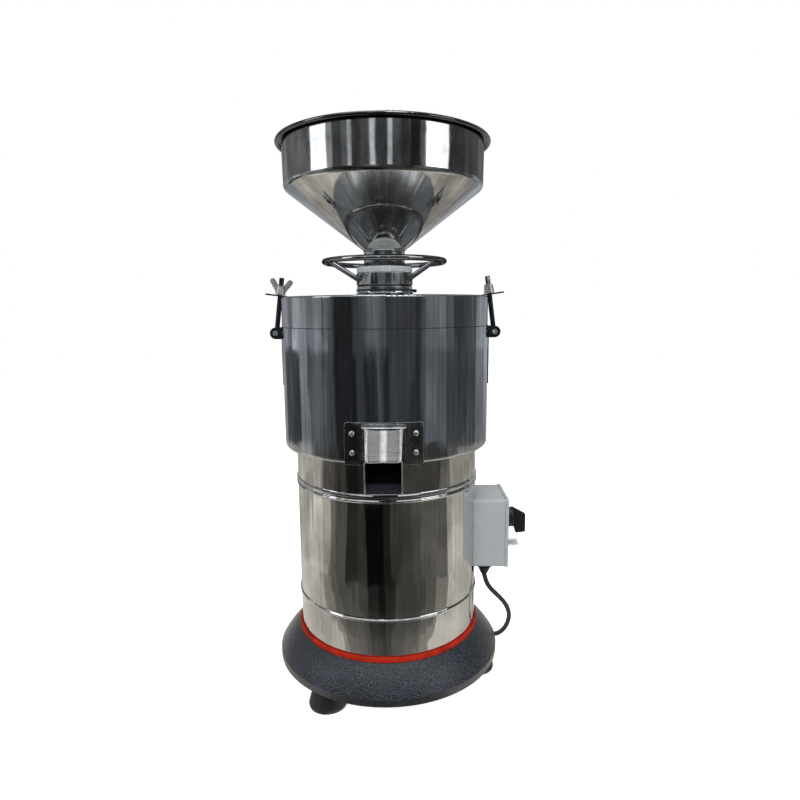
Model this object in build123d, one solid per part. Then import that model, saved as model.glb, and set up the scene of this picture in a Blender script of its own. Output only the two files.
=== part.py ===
from build123d import *
import os
from math import atan2, cos, degrees, pi, radians, sin, sqrt, tan

# A vertical nut grinder. A motor stands in a beaded sheet housing on a cast base. Its shaft
# drives a toothed grinding disc in the steel chamber above. A second toothed disc hangs from
# the lid and does not turn: the handwheel raises and lowers it on a coarse thread. Nuts fall
# from the hopper through the neck into the eye of the discs, and leave by the front chute.
# Millimetres, +Z up, the floor at z = 0, the spindle on the Z axis, the chute towards -Y.

# Clearances
slack = 0.05           # radial clearance of a running fit
seat_gap = 0.3         # gap between a moving piece and what it rests on
loose = 0.6            # radial clearance of a piece that lifts out

# Feet and base
foot_count = 3
foot_height = 38.0
foot_radius = 30.0
foot_top_radius = 21.0
foot_lip = 5.0
foot_recess_radius = 17.0
foot_recess_depth = 12.0
foot_inset = 33.4
foot_angle = 231.7
foot_screw_radius = 4.0
foot_screw_length = 48.0
base_height = 48.3
base_skirt = 33.0
base_rim = 11.0
base_bulge = 2.2
base_wall = 8.0
base_air_hole = 55.0
base_rib = 5.0
base_rib_count = 9

# Seal ring between base and housing
seal_lip = 2.0
seal_wall = 3.9
seal_band = 12.5
seal_lip_width = 8.0

# Motor housing
housing_radius = 146.5
housing_height = 304.4
sheet = 1.5
bead_radius = 2.3
bead_heights = (63.7, 245.6, 253.8)
tie_rod_radius = 4.0
tie_rod_inset = 20.5
tie_rod_count = 3
tie_rod_angle = 60.0
cable_hole = 9.0
cable_hole_height = 150.0

# Motor
shield_plate = 10.0
shield_radius = 100.0
core_radius = 84.0
core_length = 90.0
core_bore = 46.0
skirt_wall = 6.0
skirt_length = 58.0
lower_skirt_length = 40.0
winding_height = 26.0
winding_inner = 50.0
winding_outer = 74.0
air_gap = 0.5
motor_bolt_count = 4
motor_bolt_radius = 3.0
motor_bolt_circle = 92.0
bearing_outer = 26.0
bearing_inner = 12.5
bearing_width = 15.0
bearing_split = 19.0
bearing_wall = 7.0
shaft_radius = 12.5
shaft_fan_radius = 11.0
shaft_core_radius = 16.0
shaft_thread_radius = 9.0
fan_radius = 72.0
fan_height = 24.0
fan_blade_count = 9
fan_blade = 2.0
fan_shaft = 30.0

# Grinding chamber
chamber_radius = 163.7
chamber_height = 187.8
chamber_wall = 2.0
chamber_floor = 4.0
chamber_corner = 6.0
boss_radius = 36.0
boss_wall = 6.0
boss_height = 44.0
shaft_seal_height = 10.0

# Discharge chute
chute_root_width = 59.0
chute_mouth_width = 51.2
chute_depth = 44.2
chute_root_height = 52.5
chute_reach = 47.3
chute_drop = 36.5
chute_overlap = 20.0
chute_flange_half = 55.0
chute_flange_height = 60.1
chute_flange_corner = 4.0
chute_tab = 6.0
chute_screw_radius = 2.0
chute_screw_head = 4.2
chute_screw_head_height = 2.6
chute_screw_x = 44.5
chute_screw_heights = (17.0, 44.3)

# Lid
lid_gasket_height = 1.0
lid_step = 0.5
lid_height = 45.5
lid_plate = 2.5
lid_corner = 3.0
lid_lip = 8.0
collar_radius = 44.0
collar_height = 15.5
collar_flange = 58.0
collar_flange_height = 2.5
index_ring_height = 3.0
index_ring_wall = 1.3
pointer_reach = 6.0
collar_seal_section = 1.8

# Carrier of the upper disc
carrier_radius = 36.0
carrier_bore = 29.0
carrier_flange = 8.0
guide_pin_radius = 5.0
guide_pin_circle = 62.0

# Grinding discs
disc_radius = 92.0
disc_gap = 1.5
upper_disc_height = 18.0
lower_disc_height = 20.0
disc_eye = 30.0
disc_groove_depth = 3.0
coarse_groove_count = 8
fine_groove_count = 24
disc_hub_radius = 28.0
disc_hub_height = 66.0
scraper_skirt_wall = 4.0
scraper_gap = 2.0
scraper_arm = 6.0
scraper_arm_height = 14.0
scraper_arm_count = 3
scraper_reach = 152.0
disc_nut_radius = 17.0
disc_nut_height = 21.0

# Handwheel
hub_radius = 44.5
hub_height = 18.5
spigot_wall = 3.45
clip_height = 2.0
clip_reach = 3.5
wheel_radius = 98.7
wheel_tube = 4.25
wheel_rise = 36.5
spoke_radius = 4.0
spoke_height = 6.5
spoke_angle = 87.0
spoke_count = 3

# Hopper
lock_ring_radius = 44.0
lock_ring_height = 9.4
lock_ring_chamfer = 1.2
knurl_count = 60
knurl_depth = 1.0
hopper_sheet = 1.2
neck_radius = 32.5
neck_depth = 72.7
neck_length = 98.0
cone_height = 92.0
bowl_top_radius = 155.0
bowl_flare = 1.3
bowl_height = 68.5
rim_reach = 9.4
rim_roll = 2.8
crease_radius = 9.0
neck_blend = 8.0

# Swing-bolt clamps
clamp_reach = 11.3
clamp_drop = 10.1
clamp_lean = 7.5
ear_radius = 9.3
ear_wall = 3.5
eye_width = 12.0
eye_radius = 8.0
hinge_pin_radius = 4.2
hinge_pin_bore = 2.2
hinge_pin_length = 22.0
strap_wall = 2.0
strap_width = 26.0
strap_length = 92.0
bolt_radius = 3.9
bolt_length = 88.2
lug_plate = 2.5
lug_width = 26.0
lug_root = 6.2
lug_reach = 14.0
lug_slot = 9.0
washer_radius = 8.0
washer_height = 1.6
nut_radius = 8.2
nut_top_radius = 6.6
nut_height = 12.5
wing_length = 17.5
wing_half_width = 4.2
wing_angle = 34.0
wing_wall = 3.2
wing_turn = 86.0

# Control box
box_width = 90.0
box_height = 113.5
box_depth = 45.5
box_bottom = 189.0
box_wall = 3.0
box_lid_height = 5.0
box_lid_lip = 1.4
box_edge = 4.0
box_screw_radius = 2.0
box_screw_head = 3.6
box_screw_inset = 7.0
box_boss_radius = 4.6
switch_plate_width = 48.0
switch_plate_height = 76.0
switch_plate_wall = 3.0
switch_plate_bottom = 15.0
switch_size = 42.0
switch_length = 30.0
knob_height = 69.5
knob_radius = 16.5
knob_skirt = 11.0
knob_bar_width = 9.0
knob_bar_top = 17.0
knob_bar_bottom = 27.0
knob_bar_reach = 32.2
knob_slope = 11.5
knob_shaft = 3.0
button_height = 24.5
button_radius = 3.5
button_head = 4.6
button_travel = 3.0
bushing_radius = 5.6
bushing_reach = 5.0
breaker_length = 28.0
breaker_width = 16.0
breaker_height = 26.0
cap_wall = 0.9
cap_reach = 22.0

# Cord
gland_reach = 17.9
gland_radius = 12.0
gland_body = 12.0
gland_collar = 3.0
gland_mouth = 0.9
cord_radius = 4.0
cord_lift = 0.2
cord_route = (
    (0, 0, 158), (3.1, 0.6, 143.5), (11.1, 2, 129.5), (25.1, 5, 115), (40.6, 13, 95),
    (49.1, 23, 73), (49.6, 34, 50), (43.1, 45, 28), (31.6, 58, 11), (18.6, 77, 4.6),
    (3.6, 103, 4.2), (-17.4, 130, 4.3), (-41.4, 154, 4.2), (-67.4, 176, 4.3), (-95.4, 191, 4.2),
    (-124.4, 195, 4.3),
)
coil_outer_turn = 51.0
coil_inner_turn = 43.0
coil_layer_count = 2
plug_start = 14.0
plug_length = 34.0
plug_width = 26.0
plug_height = 24.0
plug_relief = 26.0
plug_pin_length = 17.0
plug_pin_radius = 2.3
plug_pin_spacing = 13.0

# Radii and places from the axis out
base_top_radius = housing_radius + seal_wall
base_radius = base_top_radius + base_skirt
foot_circle = base_radius - foot_inset
tie_rod_circle = housing_radius - tie_rod_inset
lid_radius = chamber_radius - lid_step
bowl_radius = bowl_top_radius - bowl_flare
rim_radius = bowl_top_radius + rim_reach
box_outer_x = housing_radius + box_depth
gland_x = housing_radius + gland_reach
coil_centre = (gland_x + cord_route[-1][0], cord_route[-1][1] + coil_outer_turn)

# Heights above the floor, from the bottom up
base_top = foot_height + base_height
housing_bottom = base_top + seal_lip
chamber_bottom = housing_bottom + housing_height
floor_top = chamber_bottom + chamber_floor
chamber_top = chamber_bottom + chamber_height
lid_bottom = chamber_top + lid_gasket_height
lid_top = lid_bottom + lid_height
collar_top = lid_top + collar_height
hub_bottom = collar_top + collar_seal_section + slack * 4
hub_top = hub_bottom + hub_height
lock_ring_bottom = hub_top + seat_gap
lock_ring_top = lock_ring_bottom + lock_ring_height
neck_bottom = lock_ring_top - neck_depth
cone_bottom = neck_bottom + neck_length
bowl_bottom = cone_bottom + cone_height
hopper_top = bowl_bottom + bowl_height
core_top = chamber_bottom - shield_plate - skirt_length
core_bottom = core_top - core_length
lower_shield_top = core_bottom - lower_skirt_length
upper_bearing = chamber_bottom - shield_plate - seat_gap - bearing_width
lower_bearing = lower_shield_top - shield_plate - seat_gap
boss_top = floor_top + boss_height
scraper_top = boss_top + scraper_gap + scraper_skirt_wall
lower_disc_bottom = scraper_top + disc_hub_height
lower_disc_top = lower_disc_bottom + lower_disc_height
upper_disc_bottom = lower_disc_top + disc_gap
upper_disc_top = upper_disc_bottom + upper_disc_height
carrier_top = upper_disc_top + carrier_flange
spigot_bottom = lid_top - lid_plate - clip_height - seat_gap * 2
shaft_bottom = lower_bearing - fan_shaft

# Places of the clamp's hinge and of the box, plate and knob faces
hinge_x = chamber_radius + clamp_reach
lug_inner = lid_radius - lug_root
lug_outer = hinge_x + lug_reach
hinge_z = chamber_top - clamp_drop
box_top = box_bottom + box_height
box_face = box_outer_x + box_lid_height
plate_face = box_face + switch_plate_wall
plate_bottom = box_bottom + switch_plate_bottom
knob_z = box_bottom + knob_height
button_z = box_bottom + button_height
lug_slope = radians(clamp_lean)
lug_seat = ((lid_top - hinge_z) + (hinge_x - lug_inner) * tan(lug_slope)) * cos(lug_slope)
nut_seat = lug_seat + lug_plate + seat_gap


def disc(radius, bottom, height):
    """A plain upright cylinder on the spindle axis."""
    return Pos(0, 0, bottom) * Cylinder(radius, height, align=(Align.CENTER, Align.CENTER, Align.MIN))


def ring(outer, inner, bottom, height):
    """An upright ring on the spindle axis."""
    return disc(outer, bottom, height) - disc(inner, bottom, height)


def block(low, high):
    """A box between two opposite corners."""
    size = [b - a for a, b in zip(low, high)]
    middle = [(a + b) / 2 for a, b in zip(low, high)]
    return Pos(*middle) * Box(*size)


def turned(points, radii=0):
    """A turned solid: a closed outline of (radius, height) points, rounded, about the Z axis."""
    corners = radii if isinstance(radii, (list, tuple)) else [radii] * len(points)
    outline = FilletPolyline(*points, radius=corners, close=True)
    return revolve(Plane.XZ * make_face(outline), Axis.Z)


def around(count, start=0.0):
    """Turns about the spindle axis, evenly spaced, in degrees."""
    return [Rot(0, 0, start + 360 / count * i) for i in range(count)]


def both_sides(piece):
    """A piece on +X and its twin half a turn round, on -X."""
    return Compound([piece, Rot(0, 0, 180) * piece])


def along_x(radius, start, end, z, y=0.0):
    """A rod along X."""
    rod = Cylinder(radius, end - start, align=(Align.CENTER, Align.CENTER, Align.MIN))
    return Pos(start, y, z) * Rot(0, 90, 0) * rod


def group(pieces):
    """Separate solids that share one node."""
    return Compound([solid for piece in pieces for solid in piece.solids()])


# Base
def foot_places():
    return [turn * Pos(foot_circle, 0, 0) for turn in around(foot_count, foot_angle)]


def base_envelope(inset=0.0):
    """The outer shape of the casting, or the same shape inset by its wall."""
    side = base_radius - inset
    top_radius = base_top_radius - inset * 0.55
    top = base_top - inset
    rim = foot_height + base_rim
    mid = ((side + top_radius) / 2 + base_bulge * 0.75, (rim + top) / 2 + base_bulge * 0.66)
    bottom = foot_height - (1 if inset else 0)
    edges = Polyline((side, rim), (side, bottom), (0, bottom), (0, top), (top_radius, top))
    edges += ThreePointArc((top_radius, top), mid, (side, rim))
    return revolve(Plane.XZ * make_face(edges), Axis.Z)


def base_casting():
    envelope = base_envelope()
    base = envelope - base_envelope(base_wall) - disc(base_air_hole, 0, base_top + 1)
    rib_span = base_radius - base_wall / 2 - base_air_hole
    rib = Pos(base_air_hole + rib_span / 2, 0, base_top) * Box(rib_span, base_rib, base_height * 1.7)
    base += [envelope & (turn * rib) for turn in around(base_rib_count, foot_angle + 20)]
    boss = disc(foot_top_radius, foot_height, base_height)
    base += [envelope & (place * boss) for place in foot_places()]
    hole = disc(foot_screw_radius, 0, foot_height + foot_screw_length - foot_recess_depth * 2)
    base -= [place * hole for place in foot_places()]
    base -= [turn * Pos(tie_rod_circle, 0, 0) * disc(tie_rod_radius, 0, base_top + 1)
             for turn in around(tie_rod_count, tie_rod_angle)]
    return base


def rubber_feet():
    foot = turned([
        (foot_recess_radius, 0), (foot_radius - 1, 0), (foot_radius, foot_lip),
        (foot_top_radius, foot_height), (foot_screw_radius, foot_height),
        (foot_screw_radius, foot_recess_depth), (foot_recess_radius - 2, foot_recess_depth),
    ], [0, 1, 3, 1, 0, 0, 1])
    return group([place * foot for place in foot_places()])


def foot_screws():
    head = foot_screw_radius * 0.9
    seat = foot_recess_depth
    screw = disc(foot_screw_radius, seat, foot_screw_length - seat * 2 + foot_height - seat)
    screw += disc(foot_recess_radius - 4, seat - 1.6, 1.6)
    screw += extrude(Pos(0, 0, seat - 1.6 - head) * RegularPolygon(foot_screw_radius * 1.8, 6), head)
    return group([place * screw for place in foot_places()])


def base_seal():
    outer = base_top_radius
    inner = housing_radius
    lip = inner - seal_lip_width
    top = base_top + seal_band
    return turned([(lip, base_top), (outer, base_top), (outer, top), (inner, top), (inner, housing_bottom),
                   (lip, housing_bottom)], [0, 0, 1, 0, 0, 0])


# Motor housing
def bead(radius, height):
    """The outline of one rolled bead, from the bottom edge of its arc to the top."""
    low = (radius, height - bead_radius)
    high = (radius, height + bead_radius)
    return ThreePointArc(low, (radius + bead_radius * 0.85, height), high)


def housing_side(radius):
    """One face of the sheet: straight runs between the beads."""
    edges = []
    start = housing_bottom
    for height in bead_heights:
        middle = housing_bottom + height
        edges.append(Line((radius, start), (radius, middle - bead_radius)))
        edges.append(bead(radius, middle))
        start = middle + bead_radius
    edges.append(Line((radius, start), (radius, chamber_bottom)))
    return edges


def motor_housing():
    inner = housing_radius - sheet
    edges = housing_side(housing_radius) + housing_side(inner)
    edges.append(Line((inner, housing_bottom), (housing_radius, housing_bottom)))
    edges.append(Line((inner, chamber_bottom), (housing_radius, chamber_bottom)))
    shell = revolve(Plane.XZ * make_face(edges), Axis.Z)
    return shell - along_x(cable_hole, 0, housing_radius + 1, housing_bottom + cable_hole_height)


def tie_rods():
    """Long studs that pull the chamber down on the housing and the housing on the base."""
    nut_height = tie_rod_radius * 1.6
    bottom = base_top - base_wall
    rod = disc(tie_rod_radius, bottom - nut_height - 3, chamber_bottom - bottom + nut_height + 3)
    nut = extrude(RegularPolygon(tie_rod_radius * 1.9, 6), nut_height)
    rod += [Pos(0, 0, level - nut_height) * nut for level in (bottom, chamber_bottom)]
    return group([turn * Pos(tie_rod_circle, 0, 0) * rod for turn in around(tie_rod_count, tie_rod_angle)])


# Motor
def motor_bolt_places():
    return [turn * Pos(motor_bolt_circle, 0, 0) for turn in around(motor_bolt_count, 45)]


def countersink():
    head = motor_bolt_radius * 1.9
    depth = head - motor_bolt_radius
    return Cone(motor_bolt_radius, head, depth, align=(Align.CENTER, Align.CENTER, Align.MAX))


def bolt_holes(bottom, top):
    return [place * disc(motor_bolt_radius, bottom, top - bottom) for place in motor_bolt_places()]


def motor_flange():
    """The upper end shield: bolted under the chamber floor, it holds the upper bearing."""
    bottom = chamber_bottom - shield_plate
    flange = disc(shield_radius, bottom, shield_plate)
    flange += ring(core_radius + 2, core_radius + 2 - skirt_wall, core_top, skirt_length)
    flange += disc(bearing_outer + bearing_wall, upper_bearing, bearing_width + seat_gap)
    flange -= disc(bearing_outer, upper_bearing, bearing_width)
    flange -= disc(bearing_split + 1, upper_bearing, shield_plate + bearing_width + 1)
    return flange - bolt_holes(bottom, chamber_bottom)


def lower_end_shield():
    bottom = lower_shield_top - shield_plate
    shield = disc(shield_radius, bottom, shield_plate)
    shield += ring(core_radius + 2, core_radius + 2 - skirt_wall, lower_shield_top, lower_skirt_length)
    cup_bottom = lower_bearing - 2
    shield += disc(bearing_outer + bearing_wall, cup_bottom, bottom + shield_plate / 2 - cup_bottom)
    shield -= disc(bearing_outer, lower_bearing, bearing_width + shield_plate)
    shield -= disc(bearing_split + 1, lower_bearing - 3, shield_plate)
    slot_x = (core_radius + bearing_outer) / 2 + 6
    slot = Pos(slot_x, 0, bottom + shield_plate / 2) * Box(26, 16, shield_plate * 2)
    shield -= [turn * slot for turn in around(6, 15)]
    return shield - bolt_holes(bottom, lower_shield_top)


def stator_core():
    return ring(core_radius, core_bore, core_bottom, core_length)


def stator_windings():
    """The two end turns of the winding, one at each end of the core."""
    outline = [(winding_inner, 0), (winding_outer, 0), (winding_outer, winding_height),
               (winding_inner, winding_height)]
    coil = turned(outline, [0, 0, 8, 8])
    return group([Pos(0, 0, core_top) * coil, Pos(0, 0, core_bottom) * Rot(180, 0, 0) * coil])


def motor_bolts():
    """Through bolts: flush heads in the chamber floor, nuts under the lower end shield."""
    bottom = lower_shield_top - shield_plate
    nut_height = motor_bolt_radius * 1.7
    bolt = disc(motor_bolt_radius, bottom - nut_height - 3, floor_top - bottom + nut_height + 3)
    bolt += Pos(0, 0, floor_top) * countersink()
    bolt += extrude(Pos(0, 0, bottom - nut_height) * RegularPolygon(motor_bolt_radius * 1.9, 6), nut_height)
    return group([place * bolt for place in motor_bolt_places()])


def bearing_outer_rings():
    race = ring(bearing_outer, bearing_split, 0, bearing_width)
    return group([Pos(0, 0, level) * race for level in (upper_bearing, lower_bearing)])


def bearing_inner_rings():
    race = ring(bearing_split - slack, bearing_inner, 0, bearing_width)
    return group([Pos(0, 0, level) * race for level in (upper_bearing, lower_bearing)])


def motor_shaft():
    thread_end = lower_disc_top + disc_nut_height * 0.6
    return turned([
        (0, shaft_bottom), (shaft_fan_radius, shaft_bottom), (shaft_fan_radius, lower_bearing),
        (shaft_radius, lower_bearing), (shaft_radius, lower_bearing + bearing_width),
        (shaft_core_radius, lower_bearing + bearing_width), (shaft_core_radius, upper_bearing),
        (shaft_radius, upper_bearing), (shaft_radius, lower_disc_top - lower_disc_height / 2),
        (shaft_thread_radius, lower_disc_top - lower_disc_height / 2), (shaft_thread_radius, thread_end),
        (0, thread_end),
    ])


def rotor_core():
    """The squirrel cage: a laminated core with an end ring at each end."""
    core = ring(core_bore - air_gap, shaft_core_radius, core_bottom, core_length)
    end_ring = ring(core_bore - 4, core_bore - 14, 0, 8)
    return core + [Pos(0, 0, core_top) * end_ring, Pos(0, 0, core_bottom - 8) * end_ring]


def cooling_fan():
    hub = shaft_fan_radius + 6
    fan = ring(hub, shaft_fan_radius, shaft_bottom, fan_height)
    fan += ring(fan_radius, shaft_fan_radius + 3, shaft_bottom + fan_height - 3, 3)
    span = fan_radius - hub + 2
    blade = Pos(hub + span / 2 - 2, 0, shaft_bottom + fan_height / 2) * Box(span, fan_blade, fan_height)
    return fan + [turn * blade for turn in around(fan_blade_count)]


# Chamber
def chamber_body():
    inner = chamber_radius - chamber_wall
    body = turned([
        (0, chamber_bottom), (chamber_radius, chamber_bottom), (chamber_radius, chamber_top),
        (inner, chamber_top), (inner, floor_top), (0, floor_top),
    ], [0, chamber_corner, 0, 0, chamber_corner - chamber_wall, 0])
    body += ring(boss_radius, boss_radius - boss_wall, floor_top, boss_height)
    body -= disc(boss_radius - boss_wall, chamber_bottom, chamber_floor)
    body -= [place * Pos(0, 0, floor_top) * countersink() for place in motor_bolt_places()]
    body -= bolt_holes(chamber_bottom, floor_top)
    body -= chute_space()
    return body - [place * disc(chute_screw_radius, -6, 8) for place in chute_screw_places()]


def shaft_seal():
    outer = boss_radius - boss_wall
    return ring(outer, shaft_radius + slack, boss_top - shaft_seal_height, shaft_seal_height)


def chute_section(half_width, depth, y, top):
    """One upright section of the chute, at a distance y towards the front."""
    place = Plane(origin=(0, y, top - depth / 2), x_dir=(1, 0, 0), z_dir=(0, -1, 0))
    return place * Rectangle(half_width * 2, depth)


def chute_wedge(inset, start, reach):
    """A tapered sloping channel from inside the wall to the mouth, inset by the sheet."""
    front = -(chamber_radius + reach)
    taper = (chute_root_width - chute_mouth_width) / 2 / chute_reach
    slope = chute_drop / chute_reach
    rise = inset / cos(atan2(chute_drop, chute_reach))

    def section(y):
        ahead = -y - chamber_radius
        half = chute_root_width / 2 - taper * ahead - inset
        top = chamber_bottom + chute_root_height - slope * ahead
        return chute_section(half, chute_depth - rise * 2, y, top - rise)

    return loft([section(start), section(front)])


def chute_space():
    """What the chute leaves open through the chamber wall."""
    return chute_wedge(sheet, -(chamber_radius - chamber_wall - 8), 1)


def chute_screw_places():
    """Places of the chute's screws: on the flange's face, pointing out from the axis."""
    face = chamber_radius + sheet
    turn = degrees(atan2(chute_screw_x, sqrt(face * face - chute_screw_x * chute_screw_x)))
    return [Rot(0, 0, side * turn) * Pos(0, -face, chamber_bottom + height) * Rot(90, 0, 0)
            for side in (-1, 1) for height in chute_screw_heights]


def discharge_chute():
    """Flange wrapped on the chamber, folded sheet channel, and the roof's turned-up edge."""
    face = chamber_radius + sheet
    flange_top = chamber_bottom + chute_flange_height
    outline = Pos(0, (chamber_bottom + chute_flange_height / 2)) * RectangleRounded(
        chute_flange_half * 2, chute_flange_height, chute_flange_corner)
    outline += Pos(0, chamber_bottom + chute_flange_height / 4) * Rectangle(
        chute_flange_half * 2, chute_flange_height / 2)
    front = extrude(Plane.XZ * outline, face + 1)
    flange = ring(face, chamber_radius, chamber_bottom, chute_flange_height) & front
    tab_bottom = chamber_bottom + chute_root_height
    tab_half = chute_root_width / 2 + sheet
    tab = ring(face + sheet, face, tab_bottom, min(chute_tab, flange_top - tab_bottom))
    tab &= block((-tab_half, -face - 10, tab_bottom), (tab_half, 0, flange_top))
    channel = chute_wedge(0, chute_overlap - chamber_radius, chute_reach)
    inside = chute_wedge(sheet, chute_overlap * 1.5 - chamber_radius, chute_reach + 1)
    channel -= disc(chamber_radius, 0, chamber_top)
    chute = flange + channel + tab - inside
    return chute - [place * disc(chute_screw_radius, -6, 8) for place in chute_screw_places()]


def chute_screws():
    head = disc(chute_screw_head, 0, chute_screw_head_height)
    head = fillet(head.edges().filter_by(GeomType.CIRCLE).sort_by(Axis.Z)[-1], chute_screw_head_height * 0.7)
    slot = block((-0.6, -2.4, chute_screw_head_height - 1), (0.6, 2.4, chute_screw_head_height + 1))
    screw = head - slot - Rot(0, 0, 90) * slot + disc(chute_screw_radius, -6, 6)
    return group([place * screw for place in chute_screw_places()])


# Lid
def lid():
    inner = lid_radius - chamber_wall
    shell = turned([
        (collar_radius - 3, lid_top - lid_plate), (inner, lid_top - lid_plate), (inner, lid_bottom),
        (lid_radius, lid_bottom), (lid_radius, lid_top), (collar_radius - 3, lid_top),
    ], [0, 1, 0, 0, lid_corner, 0])
    lip = ring(inner, inner - chamber_wall, lid_bottom - lid_lip, lid_lip * 1.6)
    return shell + lip


def lid_gasket():
    return ring(chamber_radius, lid_radius - chamber_wall, chamber_top, lid_gasket_height)


def lid_lugs():
    """A slotted plate on each side of the lid, square to the swing bolt."""
    length = (lug_outer - lug_inner) / cos(lug_slope)
    plate = block((0, -lug_width / 2, 0), (length, lug_width / 2, lug_plate))
    plate = fillet(plate.edges().filter_by(Axis.Z).group_by(Axis.X)[-1], 4)
    bolt_at = (hinge_x - lug_inner) / cos(lug_slope) - lug_seat * tan(lug_slope)
    slot = Pos(bolt_at, 0, -1) * Cylinder(lug_slot / 2, lug_plate * 3)
    slot += block((bolt_at, -lug_slot / 2, -1), (length + 1, lug_slot / 2, lug_plate + 1))
    plate = Pos(lug_inner, 0, lid_top) * Rot(0, -clamp_lean, 0) * (plate - slot)
    weld_end = lid_radius - lid_corner
    weld = block((lug_inner, -lug_width / 2, lid_top), (weld_end, lug_width / 2, lid_top + 1.2))
    weld &= disc(weld_end, lid_top, 2)
    return both_sides(plate + (weld - Pos(lug_inner, 0, lid_top) * Rot(0, -clamp_lean, 0) * slot))


def lid_collar():
    """The turned neck on the lid, in which the handwheel's spigot turns."""
    bore = carrier_radius + spigot_wall + slack * 2
    flange_top = lid_top + collar_flange_height
    collar = turned([
        (bore, lid_top), (collar_flange, lid_top), (collar_flange, flange_top),
        (collar_radius, flange_top), (collar_radius, collar_top), (bore, collar_top),
    ], [0, 0, 1, 5, 0.6, 0])
    return collar


def index_ring():
    """A black band round the collar, with the pointer of the grinding gap at +X."""
    bottom = collar_top - collar_seal_section * 2.4 - index_ring_height
    outer = collar_radius + index_ring_wall
    band = ring(outer, collar_radius, bottom, index_ring_height)
    tip = outer + pointer_reach
    tongue = block((collar_radius + 0.5, -3, bottom - 2), (tip, 3, bottom + index_ring_height))
    tongue = chamfer(tongue.edges().filter_by(Axis.Y).group_by(Axis.X)[-1], 1.5)
    return band + tongue


def collar_seal():
    section = collar_seal_section / 2
    return Pos(0, 0, collar_top + section) * Torus(collar_radius - section - 0.6, section)


def guide_pins():
    """Pins under the lid that let the upper disc rise and fall but not turn."""
    head = lid_top - lid_plate
    pin = disc(guide_pin_radius, upper_disc_top + 2.2, head - upper_disc_top - 2.2)
    pin += disc(guide_pin_radius + 3, head - 8, 8)
    return both_sides(Pos(guide_pin_circle, 0, 0) * pin)


# Carrier and grinding discs
def carrier_sleeve_top():
    return hub_top + seat_gap + 3


def disc_carrier():
    """The sleeve that hangs the upper disc: threaded outside, with a seat for the hopper neck."""
    seat = neck_bottom - seat_gap
    carrier = turned([
        (carrier_bore, upper_disc_top), (disc_radius, upper_disc_top), (disc_radius, carrier_top),
        (carrier_radius, carrier_top), (carrier_radius, carrier_sleeve_top()),
        (neck_radius + loose, carrier_sleeve_top()), (neck_radius + loose, seat), (carrier_bore, seat),
    ], [0, 0, 1, 3, 0, 0, 0, 0])
    hole = disc(guide_pin_radius + slack, upper_disc_top, carrier_flange)
    return carrier - both_sides(Pos(guide_pin_circle, 0, 0) * hole)


def groove_set(count, inner, outer, width, skew, bottom):
    """Grooves of one zone of a disc, evenly spaced and swept back from the radius."""
    length = outer - inner
    groove = block((0, -width / 2, 0), (length, width / 2, disc_groove_depth + 1))
    groove = Pos(inner, 0, bottom) * Rot(0, 0, skew) * groove
    return [turn * groove for turn in around(count)]


def toothed(blank, bottom, skew):
    """Cuts the coarse breaker grooves and the fine outer grooves into a disc."""
    middle = (disc_eye + disc_radius) / 2 - 4
    blank -= groove_set(coarse_groove_count, disc_eye - 4, middle + 2, 7, skew, bottom)
    return blank - groove_set(fine_groove_count, middle, disc_radius + 10, 3.2, skew * 1.2, bottom)


def lower_grinding_disc():
    """The turning disc, with its hub down to the scraper."""
    hub = ring(disc_hub_radius, shaft_radius, scraper_top, disc_hub_height)
    blank = ring(disc_radius, shaft_radius, lower_disc_bottom, lower_disc_height)
    blank -= disc(disc_nut_radius + 1, lower_disc_top - disc_groove_depth, disc_groove_depth)
    step = lower_disc_top - lower_disc_height / 2
    blank += ring(shaft_radius, shaft_thread_radius, step, lower_disc_height / 2 - disc_groove_depth)
    return toothed(blank, lower_disc_top - disc_groove_depth, 18) + hub


def upper_grinding_disc():
    blank = ring(disc_radius, disc_eye, upper_disc_bottom, upper_disc_height)
    return toothed(blank, upper_disc_bottom - 1, -18)


def scraper_rotor():
    """A cap over the floor's boss with three arms that sweep the paste to the chute."""
    outer = boss_radius + scraper_gap + scraper_skirt_wall
    bottom = floor_top + scraper_gap
    rotor = ring(outer, outer - scraper_skirt_wall, bottom, scraper_top - bottom)
    rotor += ring(outer, shaft_radius, scraper_top - scraper_skirt_wall, scraper_skirt_wall)
    span = scraper_reach - outer + 2
    arm = block((0, 0, bottom), (span, scraper_arm, bottom + scraper_arm_height))
    arm = chamfer(arm.edges().filter_by(Axis.X).sort_by(Axis.Z)[-1], scraper_arm * 0.6)
    arm = Pos(outer - 2, 0, 0) * Rot(0, 0, -12) * arm
    return rotor + [turn * arm for turn in around(scraper_arm_count, 30)]


def disc_nut():
    """The pointed nut on the shaft's end, which also spreads the nuts to the discs."""
    seat = lower_disc_top - disc_groove_depth
    top = lower_disc_top + disc_nut_height
    nut = turned([(0, seat), (disc_nut_radius, seat), (disc_nut_radius, seat + 7), (4, top), (0, top)],
                 [0, 0, 1, 2, 0])
    flat = block((disc_nut_radius - 2.5, -30, seat + 3), (disc_nut_radius + 9, 30, top))
    nut -= [turn * flat for turn in around(2)]
    return nut - disc(shaft_thread_radius, seat, lower_disc_top + disc_nut_height * 0.6 - seat)


# Handwheel
def handwheel_hub():
    bore = carrier_radius + slack
    spigot = carrier_radius + spigot_wall
    hub = turned([
        (bore, spigot_bottom), (spigot, spigot_bottom), (spigot, hub_bottom), (hub_radius, hub_bottom),
        (hub_radius, hub_top), (bore, hub_top),
    ], [0, 0.5, 0, 1, 1, 0])
    return hub - ring(spigot + 1, spigot - 1.5, spigot_bottom + seat_gap, clip_height)


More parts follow.
